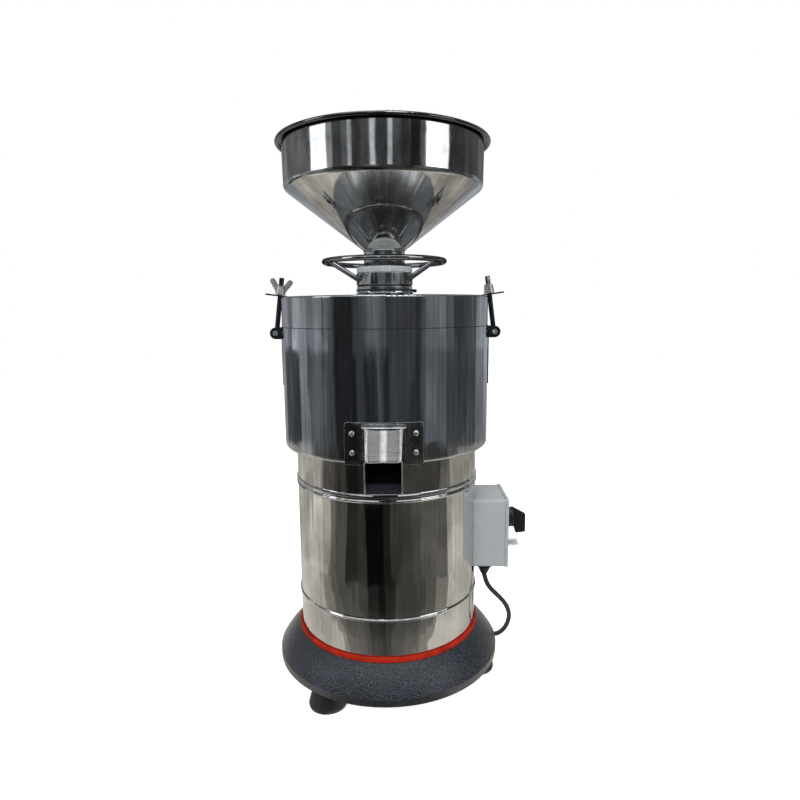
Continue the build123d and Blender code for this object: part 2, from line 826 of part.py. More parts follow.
def retaining_ring():
    """The open spring ring under the lid that keeps the handwheel down."""
    inner = carrier_radius + spigot_wall - 1.5
    clip = ring(inner + 1.5 + clip_reach, inner, spigot_bottom + seat_gap, clip_height)
    return clip - block((0, -5, spigot_bottom), (inner * 2, 5, lid_top))


def wheel_height():
    return hub_bottom + wheel_rise


def handwheel_rim():
    return Pos(0, 0, wheel_height()) * Torus(wheel_radius - wheel_tube, wheel_tube)


def handwheel_spokes():
    low = Vector(hub_radius - 3, 0, hub_bottom + spoke_height)
    high = Vector(wheel_radius - wheel_tube, 0, wheel_height())
    run = high - low
    rod = Plane(origin=low, z_dir=run) * Cylinder(
        spoke_radius, run.length, align=(Align.CENTER, Align.CENTER, Align.MIN))
    rod = rod - disc(hub_radius, 0, hopper_top) - handwheel_rim()
    inner = rod.solids().sort_by(Axis.X)[0]
    return group([turn * inner for turn in around(spoke_count, spoke_angle)])


# Hopper
def lock_ring():
    """The knurled nylon ring on the hub that steadies the hopper's neck."""
    points = []
    for i in range(knurl_count * 2):
        radius = lock_ring_radius - (knurl_depth if i % 2 else 0)
        angle = pi * (i + 0.5) / knurl_count
        points.append((radius * cos(angle), radius * sin(angle)))
    body = extrude(make_face(Polyline(*points, close=True)), lock_ring_height)
    shoulder = lock_ring_radius - lock_ring_chamfer
    clear = lock_ring_radius + lock_ring_chamfer
    body &= turned([
        (0, 0), (shoulder, 0), (clear, 2 * lock_ring_chamfer),
        (clear, lock_ring_height - 2 * lock_ring_chamfer), (shoulder, lock_ring_height), (0, lock_ring_height),
    ], [0] * 6)
    body -= disc(neck_radius + slack * 2, 0, lock_ring_height)
    body -= disc(carrier_radius + loose, 0, carrier_sleeve_top() + 2 - lock_ring_bottom)
    return Pos(0, 0, lock_ring_bottom) * body


def hopper():
    """A spun cone and bowl with a rolled rim, on a straight neck."""
    wall = hopper_sheet
    bowl_edge = hopper_top - wall / 2
    shell = turned([
        (neck_radius, neck_bottom), (neck_radius, cone_bottom), (bowl_radius, bowl_bottom),
        (bowl_top_radius, bowl_edge), (bowl_top_radius - wall, bowl_edge),
        (bowl_radius - wall, bowl_bottom + wall * 0.4), (neck_radius - wall, cone_bottom + wall * 0.7),
        (neck_radius - wall, neck_bottom),
    ], [0, neck_blend, crease_radius, 0, 0, crease_radius - wall, neck_blend + wall, 0])
    flange = ring(rim_radius - rim_roll, bowl_top_radius - wall, hopper_top - wall, wall)
    roll = Pos(0, 0, hopper_top - rim_roll) * Torus(rim_radius - rim_roll, rim_roll)
    return shell + flange + roll


# Clamps, built on +X with the bolt upright, then leaned in about the hinge
def leaned(piece):
    """Puts a piece from the bolt's own frame in place: the hinge at its origin, leaning in."""
    return Pos(hinge_x, 0, hinge_z) * Rot(0, -clamp_lean, 0) * piece


def clamp_brackets():
    """A folded bracket on each side: a strap on the chamber and two ears."""
    half = eye_width / 2 + seat_gap
    top = hinge_z + ear_radius
    strap = ring(chamber_radius + strap_wall, chamber_radius, top - strap_length, strap_length)
    strap &= block((0, -strap_width / 2, 0), (chamber_radius * 2, strap_width / 2, chamber_top))
    ear = Pos(hinge_x, 0, hinge_z) * Rot(90, 0, 0) * Cylinder(ear_radius, ear_wall)
    ear += block((chamber_radius - 1, -ear_wall / 2, hinge_z - ear_radius), (hinge_x, ear_wall / 2, top))
    ear -= Pos(hinge_x, 0, hinge_z) * Rot(90, 0, 0) * Cylinder(hinge_pin_radius, ear_wall * 2)
    bracket = strap + [Pos(0, side * (half + ear_wall / 2), 0) * ear for side in (-1, 1)]
    return both_sides(bracket - disc(chamber_radius, 0, lid_top))


def hinge_pins():
    pin = Cylinder(hinge_pin_radius, hinge_pin_length) - Cylinder(hinge_pin_bore, hinge_pin_length)
    return both_sides(Pos(hinge_x, 0, hinge_z) * Rot(90, 0, 0) * pin)


def swing_bolt():
    eye = Rot(90, 0, 0) * Cylinder(eye_radius, eye_width)
    rod = disc(bolt_radius, 0, bolt_length)
    rod = chamfer(rod.edges().filter_by(GeomType.CIRCLE).sort_by(Axis.Z)[-1], 0.8)
    bore = Rot(90, 0, 0) * Cylinder(hinge_pin_radius + slack, eye_width * 2)
    return leaned(eye + rod - bore)


def washer():
    return leaned(ring(washer_radius, bolt_radius + slack, nut_seat, washer_height))


def wing_nut(turn=0.0):
    """Hub and two petal wings, on the washer."""
    bottom = nut_seat + washer_height + slack
    hub = Cone(nut_radius, nut_top_radius, nut_height, align=(Align.CENTER, Align.CENTER, Align.MIN))
    petal = SlotCenterToCenter(wing_length, wing_half_width * 2)
    petal = Pos(4, 4.5) * Rot(0, 0, 90 - wing_angle) * Pos(wing_length / 2, 0) * petal
    wing = extrude(Plane.XZ * petal, wing_wall / 2, both=True)
    nut = hub + [wing, Rot(0, 0, 180) * wing] - disc(bolt_radius + slack, -5, nut_height * 3)
    nut &= disc(nut_radius * 5, 0, nut_height * 3)
    return leaned(Pos(0, 0, bottom) * Rot(0, 0, turn) * nut)


# Control box
def box_blank(start, end, inset=0.0):
    """A block of the box's outline between two x values, with rounded edges along X."""
    half = box_width / 2 - inset
    blank = block((start, -half, box_bottom + inset), (end, half, box_top - inset))
    return fillet(blank.edges().filter_by(Axis.X), max(box_edge - inset, 0.5))


def control_box():
    body = box_blank(housing_radius - 10, box_outer_x) - box_blank(0, box_outer_x + 1, box_wall)
    back = ring(housing_radius + box_wall, housing_radius, box_bottom, box_height)
    body = body - disc(housing_radius, 0, chamber_bottom) + (back & box_blank(0, box_outer_x))
    body -= along_x(cable_hole, 0, housing_radius + box_wall * 2, housing_bottom + cable_hole_height)
    body -= Pos(gland_x, 0, box_bottom) * Cylinder(gland_radius - 3, box_wall * 3)
    body += [along_x(box_boss_radius, box_outer_x - 30, box_outer_x, z, y) for y, z in box_screw_places()]
    return body - box_screw_holes(box_outer_x - 12, box_outer_x)


def box_screw_holes(start, end, radius=box_screw_radius):
    return [along_x(radius, start, end, z, y) for y, z in box_screw_places()]


def box_screw_places():
    half = box_width / 2 - box_screw_inset
    return [(y, z) for y in (-half, half) for z in (box_bottom + box_screw_inset, box_top - box_screw_inset)]


def box_lid():
    cover = box_blank(box_outer_x, box_face, -box_lid_lip)
    cover = fillet(cover.faces().sort_by(Axis.X)[-1].edges(), 1.5)
    cover -= along_x(bushing_radius, box_outer_x, box_face, button_z)
    cover -= along_x(knob_shaft + 1, box_outer_x, box_face, knob_z)
    cover -= box_screw_holes(box_outer_x, box_face)
    return cover - box_screw_holes(box_face - 2.5, box_face, box_screw_head)


def box_screws():
    screws = []
    for y, z in box_screw_places():
        head = along_x(box_screw_head, box_face - 2.5, box_face - 0.5, z, y)
        slot = block((box_face - 1.3, y - 0.5, z - box_screw_head), (box_face, y + 0.5, z + box_screw_head))
        screws.append(head - slot + along_x(box_screw_radius, box_outer_x - 12, box_face - 2.5, z, y))
    return group(screws)


def switch_plate():
    half = switch_plate_width / 2
    top = plate_bottom + switch_plate_height
    plate = block((box_face, -half, plate_bottom), (plate_face, half, top))
    plate = fillet(plate.edges().filter_by(Axis.X), 3)
    plate = chamfer(plate.faces().sort_by(Axis.X)[-1].edges(), 1)
    plate -= along_x(knob_shaft + 1, box_face, plate_face, knob_z)
    return plate - along_x(bushing_radius, box_face, plate_face, button_z)


def rotary_switch():
    half = switch_size / 2
    body = block((box_outer_x - switch_length, -half, knob_z - half), (box_outer_x, half, knob_z + half))
    for y in (-half, half - 4):
        body -= block((box_outer_x - 8, y, knob_z - half + 6), (box_outer_x - 3, y + 4, knob_z + half - 6))
    return body - along_x(knob_shaft + slack, box_outer_x - 20, box_outer_x, knob_z)


def switch_knob():
    """A skirt with a pointer bar, on the switch's shaft."""
    start = plate_face + seat_gap
    skirt = along_x(knob_radius, start, start + knob_skirt, knob_z)
    skirt = chamfer(skirt.edges().filter_by(GeomType.CIRCLE).sort_by(Axis.X)[-1], 1.5)
    end = plate_face + knob_bar_reach
    low = knob_z - knob_bar_bottom
    high = knob_z + knob_bar_top
    rim = start + knob_skirt
    side = Polyline((start + 1, high - 2), (rim, high), (end, high - knob_slope), (end, low + 2),
                    (rim + 5, low), (rim + 1.5, knob_z - knob_radius + 1),
                    (start + 1, knob_z - knob_radius + 2), close=True)
    bar = extrude(Plane.XZ * make_face(side), knob_bar_width / 2, both=True)
    bar = fillet(bar.edges().filter_by(Axis.Y).group_by(Axis.X)[-1], 1)
    shaft = along_x(knob_shaft, box_outer_x - 18, start + 1, knob_z)
    return skirt + bar + shaft


def reset_breaker():
    """The overload breaker: its body in the box, its bushing through lid and plate."""
    start = box_outer_x - breaker_length
    half = breaker_width / 2
    low = button_z - breaker_height / 2 + 2
    body = block((start, -half, low), (box_outer_x, half, button_z + breaker_height / 2))
    body += along_x(bushing_radius, box_outer_x, plate_face + bushing_reach, button_z)
    return body - along_x(button_radius + slack, box_outer_x - 12, plate_face + bushing_reach, button_z)


def reset_button():
    """A stem in the bushing with a small head."""
    head_start = plate_face + bushing_reach + button_travel + 2
    stem = along_x(button_radius, box_outer_x - 12 + button_travel + 2, head_start, button_z)
    head = along_x(button_head, head_start, plate_face + cap_reach - cap_wall - 2, button_z)
    return stem + chamfer(head.edges().filter_by(GeomType.CIRCLE).sort_by(Axis.X)[-1], 0.8)


def button_cap():
    """The clear dust cap screwed over the bushing."""
    end = plate_face + cap_reach
    cap = along_x(bushing_radius + cap_wall, plate_face, end, button_z)
    cap = fillet(cap.edges().filter_by(GeomType.CIRCLE).sort_by(Axis.X)[-1], 2)
    return cap - along_x(bushing_radius, plate_face, end - cap_wall, button_z)


# Cord
def cable_gland():
    """The gland's body: a hexagon under the box and a threaded neck through its wall."""
    bore = cord_radius + 1.5
    outline = Pos(0, 0, box_bottom - gland_collar) * RegularPolygon(gland_radius + 1.5, 6)
    hexagon = extrude(outline, gland_collar)
    neck = ring(gland_radius - 3, bore, box_bottom - gland_body, gland_body * 2)
    return Pos(gland_x, 0, 0) * (hexagon - disc(bore, box_bottom - 9, 10) + neck)


def gland_nut_piece():
    """The clamping nut: a ribbed grip above a cone that guides the cord."""
    end = cord_route[0][2] + gland_mouth
    top = box_bottom - gland_collar
    nut = turned([
        (cord_radius, end), (cord_radius + 1.4, end), (gland_radius - 2, end + 10), (gland_radius, end + 12),
        (gland_radius, top), (gland_radius - 3, top), (gland_radius - 3, box_bottom - gland_body),
        (cord_radius, box_bottom - gland_body),
    ], [0, 0.6, 2, 1, 0, 0, 0, 0])
    notch = Pos(gland_radius, 0, top - 5) * Cylinder(0.9, 10)
    nut -= [turn * notch for turn in around(12)]
    return Pos(gland_x, 0, 0) * nut


def cord_path():
    """Straight runs joined by arcs as large as the runs allow."""
    points = [Vector(gland_x + x, y, z) for x, y, z in cord_route]
    radii = []
    for before, here, after in zip(points, points[1:], points[2:]):
        turn = (here - before).get_angle(after - here)
        shorter = min((here - before).length, (after - here).length)
        radii.append(0.45 * shorter / tan(radians(turn) / 2))
    print("cord radii", [round(radius, 1) for radius in radii])
    return FilletPolyline(*points, radius=radii)


def power_cord():
    path = cord_path()
    tube = sweep(Plane(origin=path @ 0, z_dir=path % 0) * Circle(cord_radius), path=path)
    print("cord tube length", round(path.length, 1), "volume", round(tube.volume, 1),
          "expected", round(pi * cord_radius ** 2 * path.length, 1))
    return tube


def cord_coil():
    outer = coil_outer_turn + cord_radius
    inner = coil_inner_turn - cord_radius
    height = coil_layer_count * cord_radius * 2
    return Pos(coil_centre[0], coil_centre[1], cord_lift) * ring(outer, inner, 0, height)


def power_plug():
    """The moulded plug on the coil's tail, with its tapered strain relief, and its two pins."""
    y = coil_centre[1] + coil_outer_turn
    z = cord_lift + plug_height / 2
    start = coil_centre[0] + plug_start
    back = start + plug_relief
    face = back + plug_length
    upright = (Align.CENTER, Align.CENTER, Align.MIN)
    relief = Cone(cord_radius + 0.8, cord_radius + 3.5, plug_relief, align=upright)
    body = Pos((back + face) / 2, y, z) * Box(plug_length, plug_width, plug_height)
    body = fillet(body.edges().filter_by(Axis.X), 6) + Pos(start, y, z) * Rot(0, 90, 0) * relief
    pins = [along_x(plug_pin_radius, face, face + plug_pin_length, z, y + side * plug_pin_spacing / 2)
            for side in (-1, 1)]
    return group([body] + pins)


nodes = {
    "base_casting": base_casting(),
    "rubber_feet": rubber_feet(),
    "foot_screws": foot_screws(),
    "base_seal": base_seal(),
    "motor_housing": motor_housing(),
    "tie_rods": tie_rods(),
    "motor_flange": motor_flange(),
    "lower_end_shield": lower_end_shield(),
    "stator_core": stator_core(),
    "stator_windings": stator_windings(),
    "motor_bolts": motor_bolts(),
    "bearing_outer_rings": bearing_outer_rings(),
    "bearing_inner_rings": bearing_inner_rings(),
    "motor_shaft": motor_shaft(),
    "rotor_core": rotor_core(),
    "cooling_fan": cooling_fan(),
    "chamber_body": chamber_body(),
    "shaft_seal": shaft_seal(),
    "discharge_chute": discharge_chute(),
    "chute_screws": chute_screws(),
    "lid": lid(),
    "lid_gasket": lid_gasket(),
    "lid_lugs": lid_lugs(),
    "lid_collar": lid_collar(),
    "index_ring": index_ring(),
    "collar_seal": collar_seal(),
    "guide_pins": guide_pins(),
    "disc_carrier": disc_carrier(),
    "upper_grinding_disc": upper_grinding_disc(),
    "lower_grinding_disc": lower_grinding_disc(),
    "scraper_rotor": scraper_rotor(),
    "disc_nut": disc_nut(),
    "handwheel_hub": handwheel_hub(),
    "retaining_ring": retaining_ring(),
    "handwheel_rim": handwheel_rim(),
    "handwheel_spokes": handwheel_spokes(),
    "lock_ring": lock_ring(),
    "hopper": hopper(),
    "clamp_brackets": clamp_brackets(),
    "hinge_pins": hinge_pins(),
    "swing_bolt_right": swing_bolt(),
    "swing_bolt_left": Rot(0, 0, 180) * swing_bolt(),
    "washer_right": washer(),
    "washer_left": Rot(0, 0, 180) * washer(),
    "wing_nut_right": wing_nut(wing_turn),
    "wing_nut_left": Rot(0, 0, 180) * wing_nut(),
    "control_box": control_box(),
    "box_lid": box_lid(),
    "box_screws": box_screws(),
    "switch_plate": switch_plate(),
    "rotary_switch": rotary_switch(),
    "switch_knob": switch_knob(),
    "reset_breaker": reset_breaker(),
    "reset_button": reset_button(),
    "button_cap": button_cap(),
    "cable_gland": cable_gland(),
    "gland_nut": gland_nut_piece(),
    "power_cord": power_cord(),
    "cord_coil": cord_coil(),
    "power_plug": power_plug(),
}

os.makedirs("parts", exist_ok=True)
for name, shape in nodes.items():
    export_step(shape, f"parts/{name}.step")
    print(name, len(shape.solids()), "solids", round(shape.volume), "mm3")
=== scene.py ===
# %% [markdown]
# # A nut grinder, dressed for the camera
# The machine's solids come from its CAD source and are already true in shape and size. Here
# they get what a solid can't hold: polished sheet with rolling lines, hammered paint, threads,
# weld seams, a lead that lies on the floor. Everything is in metres in the CAD's own frame:
# the floor is z = 0, the spindle is the Z axis, and the chute points to -Y.

# %% Frame
from math import asin, atan2, ceil, cos, pi, radians, sin, sqrt, tan

import bmesh
import bpy
from mathutils import Matrix, Vector


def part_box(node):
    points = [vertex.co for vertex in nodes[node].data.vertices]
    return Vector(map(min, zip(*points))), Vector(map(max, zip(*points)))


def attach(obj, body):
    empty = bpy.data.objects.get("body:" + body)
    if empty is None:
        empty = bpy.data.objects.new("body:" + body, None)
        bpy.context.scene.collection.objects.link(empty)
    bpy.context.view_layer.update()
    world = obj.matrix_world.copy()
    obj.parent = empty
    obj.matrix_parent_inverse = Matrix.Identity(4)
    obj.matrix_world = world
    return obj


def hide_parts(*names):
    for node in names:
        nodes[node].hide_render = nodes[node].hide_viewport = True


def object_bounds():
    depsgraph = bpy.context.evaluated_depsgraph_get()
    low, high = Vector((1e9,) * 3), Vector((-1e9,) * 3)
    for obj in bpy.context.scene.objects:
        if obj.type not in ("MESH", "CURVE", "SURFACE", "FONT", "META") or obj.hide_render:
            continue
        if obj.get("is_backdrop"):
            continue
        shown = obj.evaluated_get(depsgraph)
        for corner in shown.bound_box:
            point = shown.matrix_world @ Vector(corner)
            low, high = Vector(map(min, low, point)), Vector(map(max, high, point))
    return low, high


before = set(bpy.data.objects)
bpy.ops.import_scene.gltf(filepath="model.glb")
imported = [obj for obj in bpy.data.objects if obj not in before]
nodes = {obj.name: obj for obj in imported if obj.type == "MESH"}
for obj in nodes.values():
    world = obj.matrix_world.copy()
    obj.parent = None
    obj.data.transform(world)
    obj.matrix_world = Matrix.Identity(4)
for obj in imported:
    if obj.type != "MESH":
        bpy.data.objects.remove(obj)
cad_box = [list(corner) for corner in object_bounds()]
MM = 0.001


# %% Places read from the CAD
def top_of(node):
    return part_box(node)[1].z


def bottom_of(node):
    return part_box(node)[0].z


drum_low, drum_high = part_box("motor_housing")
housing_radius = (drum_high.y - drum_low.y) / 2
print("housing radius with its beads", round(housing_radius / MM, 1), "mm")

# %% [markdown]
# ## The camera
# A phone stood about a metre off, a little above the chamber, and looked slightly down. The
# lens is set from the picture's focal length in pixels, so the picture's 800 pixels span the
# sensor. The small roll is real too: the machine leans half a degree to the left.

# %% Camera
picture_side = 800
focal_pixels = 601.8
camera_place = Vector((22.8, -976.3, 608.1)) * MM
camera_pitch = radians(8.65)
camera_roll = radians(-0.5)

lens = bpy.data.cameras.new("camera")
lens.sensor_width = 36
lens.lens = lens.sensor_width * focal_pixels / picture_side
lens.clip_start = 0.05
camera = bpy.data.objects.new("camera", lens)
camera.matrix_world = (
    Matrix.Translation(camera_place)
    @ Matrix.Rotation(pi / 2 - camera_pitch, 4, "X")
    @ Matrix.Rotation(camera_roll, 4, "Z")
)
scene = bpy.context.scene
scene.collection.objects.link(camera)
scene.camera = camera
print("lens", round(lens.lens, 2), "mm")

# %% [markdown]
# ## Small helpers
# Every piece ends as a plain mesh at the origin that rides on a CAD body, so one helper does
# that for all of them. Edges sharper than a set angle stay crisp and the rest shade smooth.


# %% Pieces
def place_piece(name, mesh, body, material=None, *, slot, instead_of=(), sharp=35):
    """Adds a finished mesh to the scene as one piece of the machine."""
    piece = bpy.data.objects.new(name, mesh)
    scene.collection.objects.link(piece)
    if material:
        mesh.materials.append(material)
    mesh.shade_smooth()
    mesh.set_sharp_from_angle(angle=radians(sharp))
    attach(piece, body)
    if instead_of:
        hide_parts(*instead_of)
    return piece


def mesh_from(name, build):
    """A mesh made by a function that fills a bmesh, with its faces turned outwards."""
    work = bmesh.new()
    build(work)
    bmesh.ops.remove_doubles(work, verts=work.verts, dist=1e-6)
    bmesh.ops.recalc_face_normals(work, faces=work.faces)
    mesh = bpy.data.meshes.new(name)
    work.to_mesh(mesh)
    work.free()
    return mesh


# %% Rounded outlines, skins and turned meshes
def rounded(corners, radii, steps=6):
    """An outline through the corners, each rounded by its radius with a run of points."""
    points = []
    count = len(corners)
    for i, radius in enumerate(radii):
        here = Vector(corners[i])
        before = (Vector(corners[i - 1]) - here).normalized()
        after = (Vector(corners[(i + 1) % count]) - here).normalized()
        if radius == 0:
            points.append(here)
            continue
        half = before.angle(after) / 2
        centre = here + (before + after).normalized() * radius / sin(half)
        start = here + before * radius / tan(half) - centre
        end = here + after * radius / tan(half) - centre
        first = atan2(start.y, start.x)
        sweep = (atan2(end.y, end.x) - first + pi) % (2 * pi) - pi
        for k in range(steps + 1):
            turn = first + sweep * k / steps
            points.append(centre + Vector((cos(turn), sin(turn))) * radius)
    return points


def skin(work, rows, ring=False):
    """Faces between rows of points. In a ring, each row's last point joins its first."""
    for here, after in zip(rows, rows[1:]):
        for k in range(len(here) if ring else len(here) - 1):
            n = (k + 1) % len(here)
            work.faces.new((here[k], here[n], after[n], after[k]))


def turned(work, outline, steps):
    """Spins a closed outline of (radius, height) about the spindle."""
    turns = [2 * pi * i / steps for i in range(steps)]
    rings = [[work.verts.new((r * cos(turn), r * sin(turn), z)) for r, z in outline] for turn in turns]
    skin(work, rings + rings[:1], ring=True)


# %% Geometry Nodes helpers
def node(tree, kind, inputs=(), **settings):
    """Adds a node, sets its options, and fills or links its inputs."""
    made = tree.nodes.new(kind)
    for key, value in settings.items():
        setattr(made, key, value)
    for key, value in dict(inputs).items():
        if isinstance(value, bpy.types.NodeSocket):
            tree.links.new(value, made.inputs[key])
        else:
            made.inputs[key].default_value = value
    return made


def geometry_tree(name, sizes):
    """A Geometry Nodes tree, the outputs of its input node, and its output node.

    It takes a seed geometry, named sizes, one of which may be an object, and a material."""
    tree = bpy.data.node_groups.new(name, "GeometryNodeTree")
    interface = tree.interface
    interface.new_socket("Geometry", in_out="OUTPUT", socket_type="NodeSocketGeometry")
    interface.new_socket("Geometry", in_out="INPUT", socket_type="NodeSocketGeometry")
    kinds = {int: "NodeSocketInt", float: "NodeSocketFloat"}
    for label, value in sizes.items():
        kind = kinds.get(type(value), "NodeSocketObject")
        interface.new_socket(label, in_out="INPUT", socket_type=kind)
    interface.new_socket("Material", in_out="INPUT", socket_type="NodeSocketMaterial")
    return tree, tree.nodes.new("NodeGroupInput").outputs, tree.nodes.new("NodeGroupOutput")


def end_tree(tree, given, out, shape):
    """Ends a tree with real geometry in the given material."""
    real = node(tree, "GeometryNodeRealizeInstances", {"Geometry": shape}).outputs[0]
    inputs = {"Geometry": real, "Material": given["Material"]}
    tree.links.new(node(tree, "GeometryNodeSetMaterial", inputs).outputs[0], out.inputs[0])


def plain_mesh(holder):
    """The mesh that an object's modifiers give. The object itself is removed."""
    bpy.context.view_layer.update()
    evaluated = holder.evaluated_get(bpy.context.evaluated_depsgraph_get())
    mesh = bpy.data.meshes.new_from_object(evaluated)
    name = holder.name
    holder.modifiers.clear()
    bpy.data.objects.remove(holder)
    mesh.name = name
    return mesh


def grown(name, tree, sizes, material, seed=None):
    """Runs a tree on a seed mesh and returns the plain mesh that comes out of it."""
    holder = bpy.data.objects.new(name, seed or bpy.data.meshes.new(name))
    scene.collection.objects.link(holder)
    modifier = holder.modifiers.new("grow", "NODES")
    modifier.node_group = tree
    values = {**sizes, "Material": material}
    for item in tree.interface.items_tree:
        if item.name in values:
            modifier[item.identifier] = values[item.name]
    return plain_mesh(holder)


def math(tree, operation, a, b=0.0):
    return node(tree, "ShaderNodeMath", {0: a, 1: b}, operation=operation).outputs[0]

# %% [markdown]
# ## The mains lead
# A machine of this kind has about a metre and a half of 8 mm lead. It leaves the gland under
# the switch box, drops in one bow to the floor, runs round behind the base, and what is left
# over is wound into a neat coil with the plug beside it. The curve is one NURBS spline
# through the same route as the CAD's tube, and the coil's turns are more points on it.

# %% Route of the lead
cord_radius = 4 * MM
gland_x = sum(corner.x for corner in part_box("gland_nut")) / 2
cord_route = (
    (0, 0, 158), (3.1, 0.6, 143.5), (11.1, 2, 129.5), (25.1, 5, 115), (40.6, 13, 95),
    (49.1, 23, 73), (49.6, 34, 50), (43.1, 45, 28), (31.6, 58, 11), (18.6, 77, 4.6),
    (3.6, 103, 4.2), (-17.4, 130, 4.3), (-41.4, 154, 4.2), (-67.4, 176, 4.3), (-95.4, 191, 4.2),
    (-124.4, 195, 4.3),
)
cord_points = [Vector((gland_x + x * MM, y * MM, z * MM)) for x, y, z in cord_route]
coil_low, coil_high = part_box("cord_coil")
coil_centre = (coil_low + coil_high) / 2
coil_outer = (coil_high.x - coil_low.x) / 2 - cord_radius
layer_low = cord_points[-1].z
print("coil centre", [round(v / MM) for v in coil_centre], "outer turn", round(coil_outer / MM, 1))

# %% Turns of the coil
# The coil starts where the route ends, at the coil's front, and runs clockwise seen from
# above: inwards on the floor, up one layer, and outwards again to the plug's side. Each
# change starts at its own share of the coil's length.
coil_turns = 3.5
points_per_turn = 16
coil_steps = int(coil_turns * points_per_turn)
inwards_from, raised_from, outwards_from = 0.26, 0.54, 0.80
change = 0.06
in_plug = 4 * MM


def changed(share, start):
    return min(1.0, max(0.0, (share - start) / change))


for step in range(1, coil_steps + 1):
    share = step / coil_steps
    turn = -pi / 2 - 2 * pi * step / points_per_turn
    inwards = changed(share, inwards_from) - changed(share, outwards_from)
    radius = coil_outer - cord_radius * 2 * inwards
    height = layer_low + cord_radius * 2 * changed(share, raised_from)
    around = Vector((radius * cos(turn), radius * sin(turn)))
    cord_points.append(Vector((*(coil_centre.xy + around), height)))
plug_low, plug_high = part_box("power_plug")
plug_middle = (plug_low + plug_high) / 2
cord_points.append(Vector((plug_low.x + in_plug, plug_middle.y, plug_middle.z)))
print(len(cord_points), "points on the lead")


# %% Curve
def nurbs_line(name, points, radius):
    """A smooth round cord. Its radius is on the points, so that the curve's box is true."""
    curve = bpy.data.curves.new(name, "CURVE")
    curve.dimensions = "3D"
    curve.bevel_depth = 1.0
    curve.bevel_resolution = 5
    curve.use_fill_caps = True
    curve.resolution_u = 6
    spline = curve.splines.new("NURBS")
    spline.points.add(len(points) - 1)
    for target, point in zip(spline.points, points):
        target.co = (*point, 1)
        target.radius = radius
    spline.order_u = 3
    spline.use_endpoint_u = True
    return curve


cord_curve = nurbs_line("mains_lead", cord_points, cord_radius)
cord = bpy.data.objects.new("mains_lead", cord_curve)
scene.collection.objects.link(cord)
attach(cord, "machine")
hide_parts("power_cord", "cord_coil")

# %% [markdown]
# ## The studio
# The picture has a plain white ground. The floor and the world are white only to what the
# camera and the metal see of them, and the light that falls on the machine is a plain soft
# level. Polished steel has no colour of its own: it shows what stands round it. So dark
# screens lie on the floor and stand in a ring, as a photographer's flags do, and the paler
# ones become the strips on the steel. The camera itself doesn't see the screens.


# %% White to the eye, soft to the object
def seen_directly(tree):
    """1 for what the camera, a mirror or a glass sees, 0 for light that falls on things."""
    path = node(tree, "ShaderNodeLightPath")
    either = math(tree, "MAXIMUM", path.outputs["Is Camera Ray"], path.outputs["Is Glossy Ray"])
    return math(tree, "MAXIMUM", either, path.outputs["Is Transmission Ray"])


def either_way(tree, unseen, seen):
    """One shader for the light that falls on things, another for what is seen directly."""
    inputs = {0: seen_directly(tree), 1: unseen.outputs[0], 2: seen.outputs[0]}
    return node(tree, "ShaderNodeMixShader", inputs).outputs[0]


def bare_material(name):
    material = bpy.data.materials.new(name)
    material.use_nodes = True
    material.node_tree.nodes.clear()
    return material, material.node_tree


scene.view_settings.view_transform = "Standard"
world = bpy.data.worlds.new("studio")
world.use_nodes = True
scene.world = world
tree = world.node_tree
tree.nodes.clear()
ambient = node(tree, "ShaderNodeBackground", {"Color": (0.9, 0.95, 1, 1), "Strength": 0.42})
white = node(tree, "ShaderNodeBackground", {"Color": (1, 1, 1, 1), "Strength": 1.0})
node(tree, "ShaderNodeOutputWorld", {"Surface": either_way(tree, ambient, white)})

# %% Floor
circle = {"cap_ends": True, "segments": 96, "radius": 6}
floor_mesh = mesh_from("floor", lambda work: bmesh.ops.create_circle(work, **circle))
floor = bpy.data.objects.new("floor", floor_mesh)
scene.collection.objects.link(floor)
floor.location.z = -0.0002
floor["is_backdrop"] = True
floor_white, tree = bare_material("floor_white")
paper = node(tree, "ShaderNodeBsdfDiffuse", {"Color": (0.9, 0.9, 0.9, 1)})
glow = node(tree, "ShaderNodeEmission", {"Color": (1, 1, 1, 1), "Strength": 0.8})
both = node(tree, "ShaderNodeAddShader", {0: paper.outputs[0], 1: glow.outputs[0]})
plain = node(tree, "ShaderNodeBsdfDiffuse", {"Color": (0.5, 0.5, 0.5, 1)})
node(tree, "ShaderNodeOutputMaterial", {"Surface": either_way(tree, plain, both)})
floor_mesh.materials.append(floor_white)

# %% Screens
# Azimuths are degrees round from the camera's side, positive to the picture's right, with the
# level of grey up to the next one. The housing looks down and shows the floor's screens, the
# chamber shows the low wall, the lid the high one, and the bowl looks up to the top row.
on_near_floor = (
    (-180, 0.5), (-78, 0.5), (-71, 0.26), (-60, 0.13), (-48, 0.09), (-30, 0.065), (-18, 0.03),
    (-10, 0.012), (-2, 0.025), (6, 0.06), (26, 0.075), (40, 0.11), (52, 0.2), (66, 0.52), (140, 0.45),
)
near_steps = (
    (0.19, 0.5, 0.05), (0.33, 0.6, 0.045), (0.36, 0.7, 0.035), (0.39, 0.82, 0.02), (0.42, 0.95, 0.01),
    (0.46, 1.02, 0.0), (0.52, 1.1, 0.0), (0.58, 1.16, 0.0),
)
on_floor = (
    (-180, 0.46), (-128, 0.42), (-104, 0.6), (-81, 0.44), (-71, 0.17), (-60, 0.1), (-48, 0.026),
    (-34, 0.04), (-23, 0.005), (-4, 0.016), (6, 0.045), (16, 0.06), (27, 0.08), (38, 0.1), (50, 0.11),
    (72, 0.38), (82, 0.52), (108, 0.34), (150, 0.42),
)
on_far_floor = (
    (-180, 0.46), (-128, 0.42), (-104, 0.44), (-88, 0.26), (-78, 0.09), (-62, 0.045), (-50, 0.012),
    (-34, 0.02), (-20, 0.03), (6, 0.035), (16, 0.05), (58, 0.055), (68, 0.14), (82, 0.3), (108, 0.34),
    (150, 0.42),
)
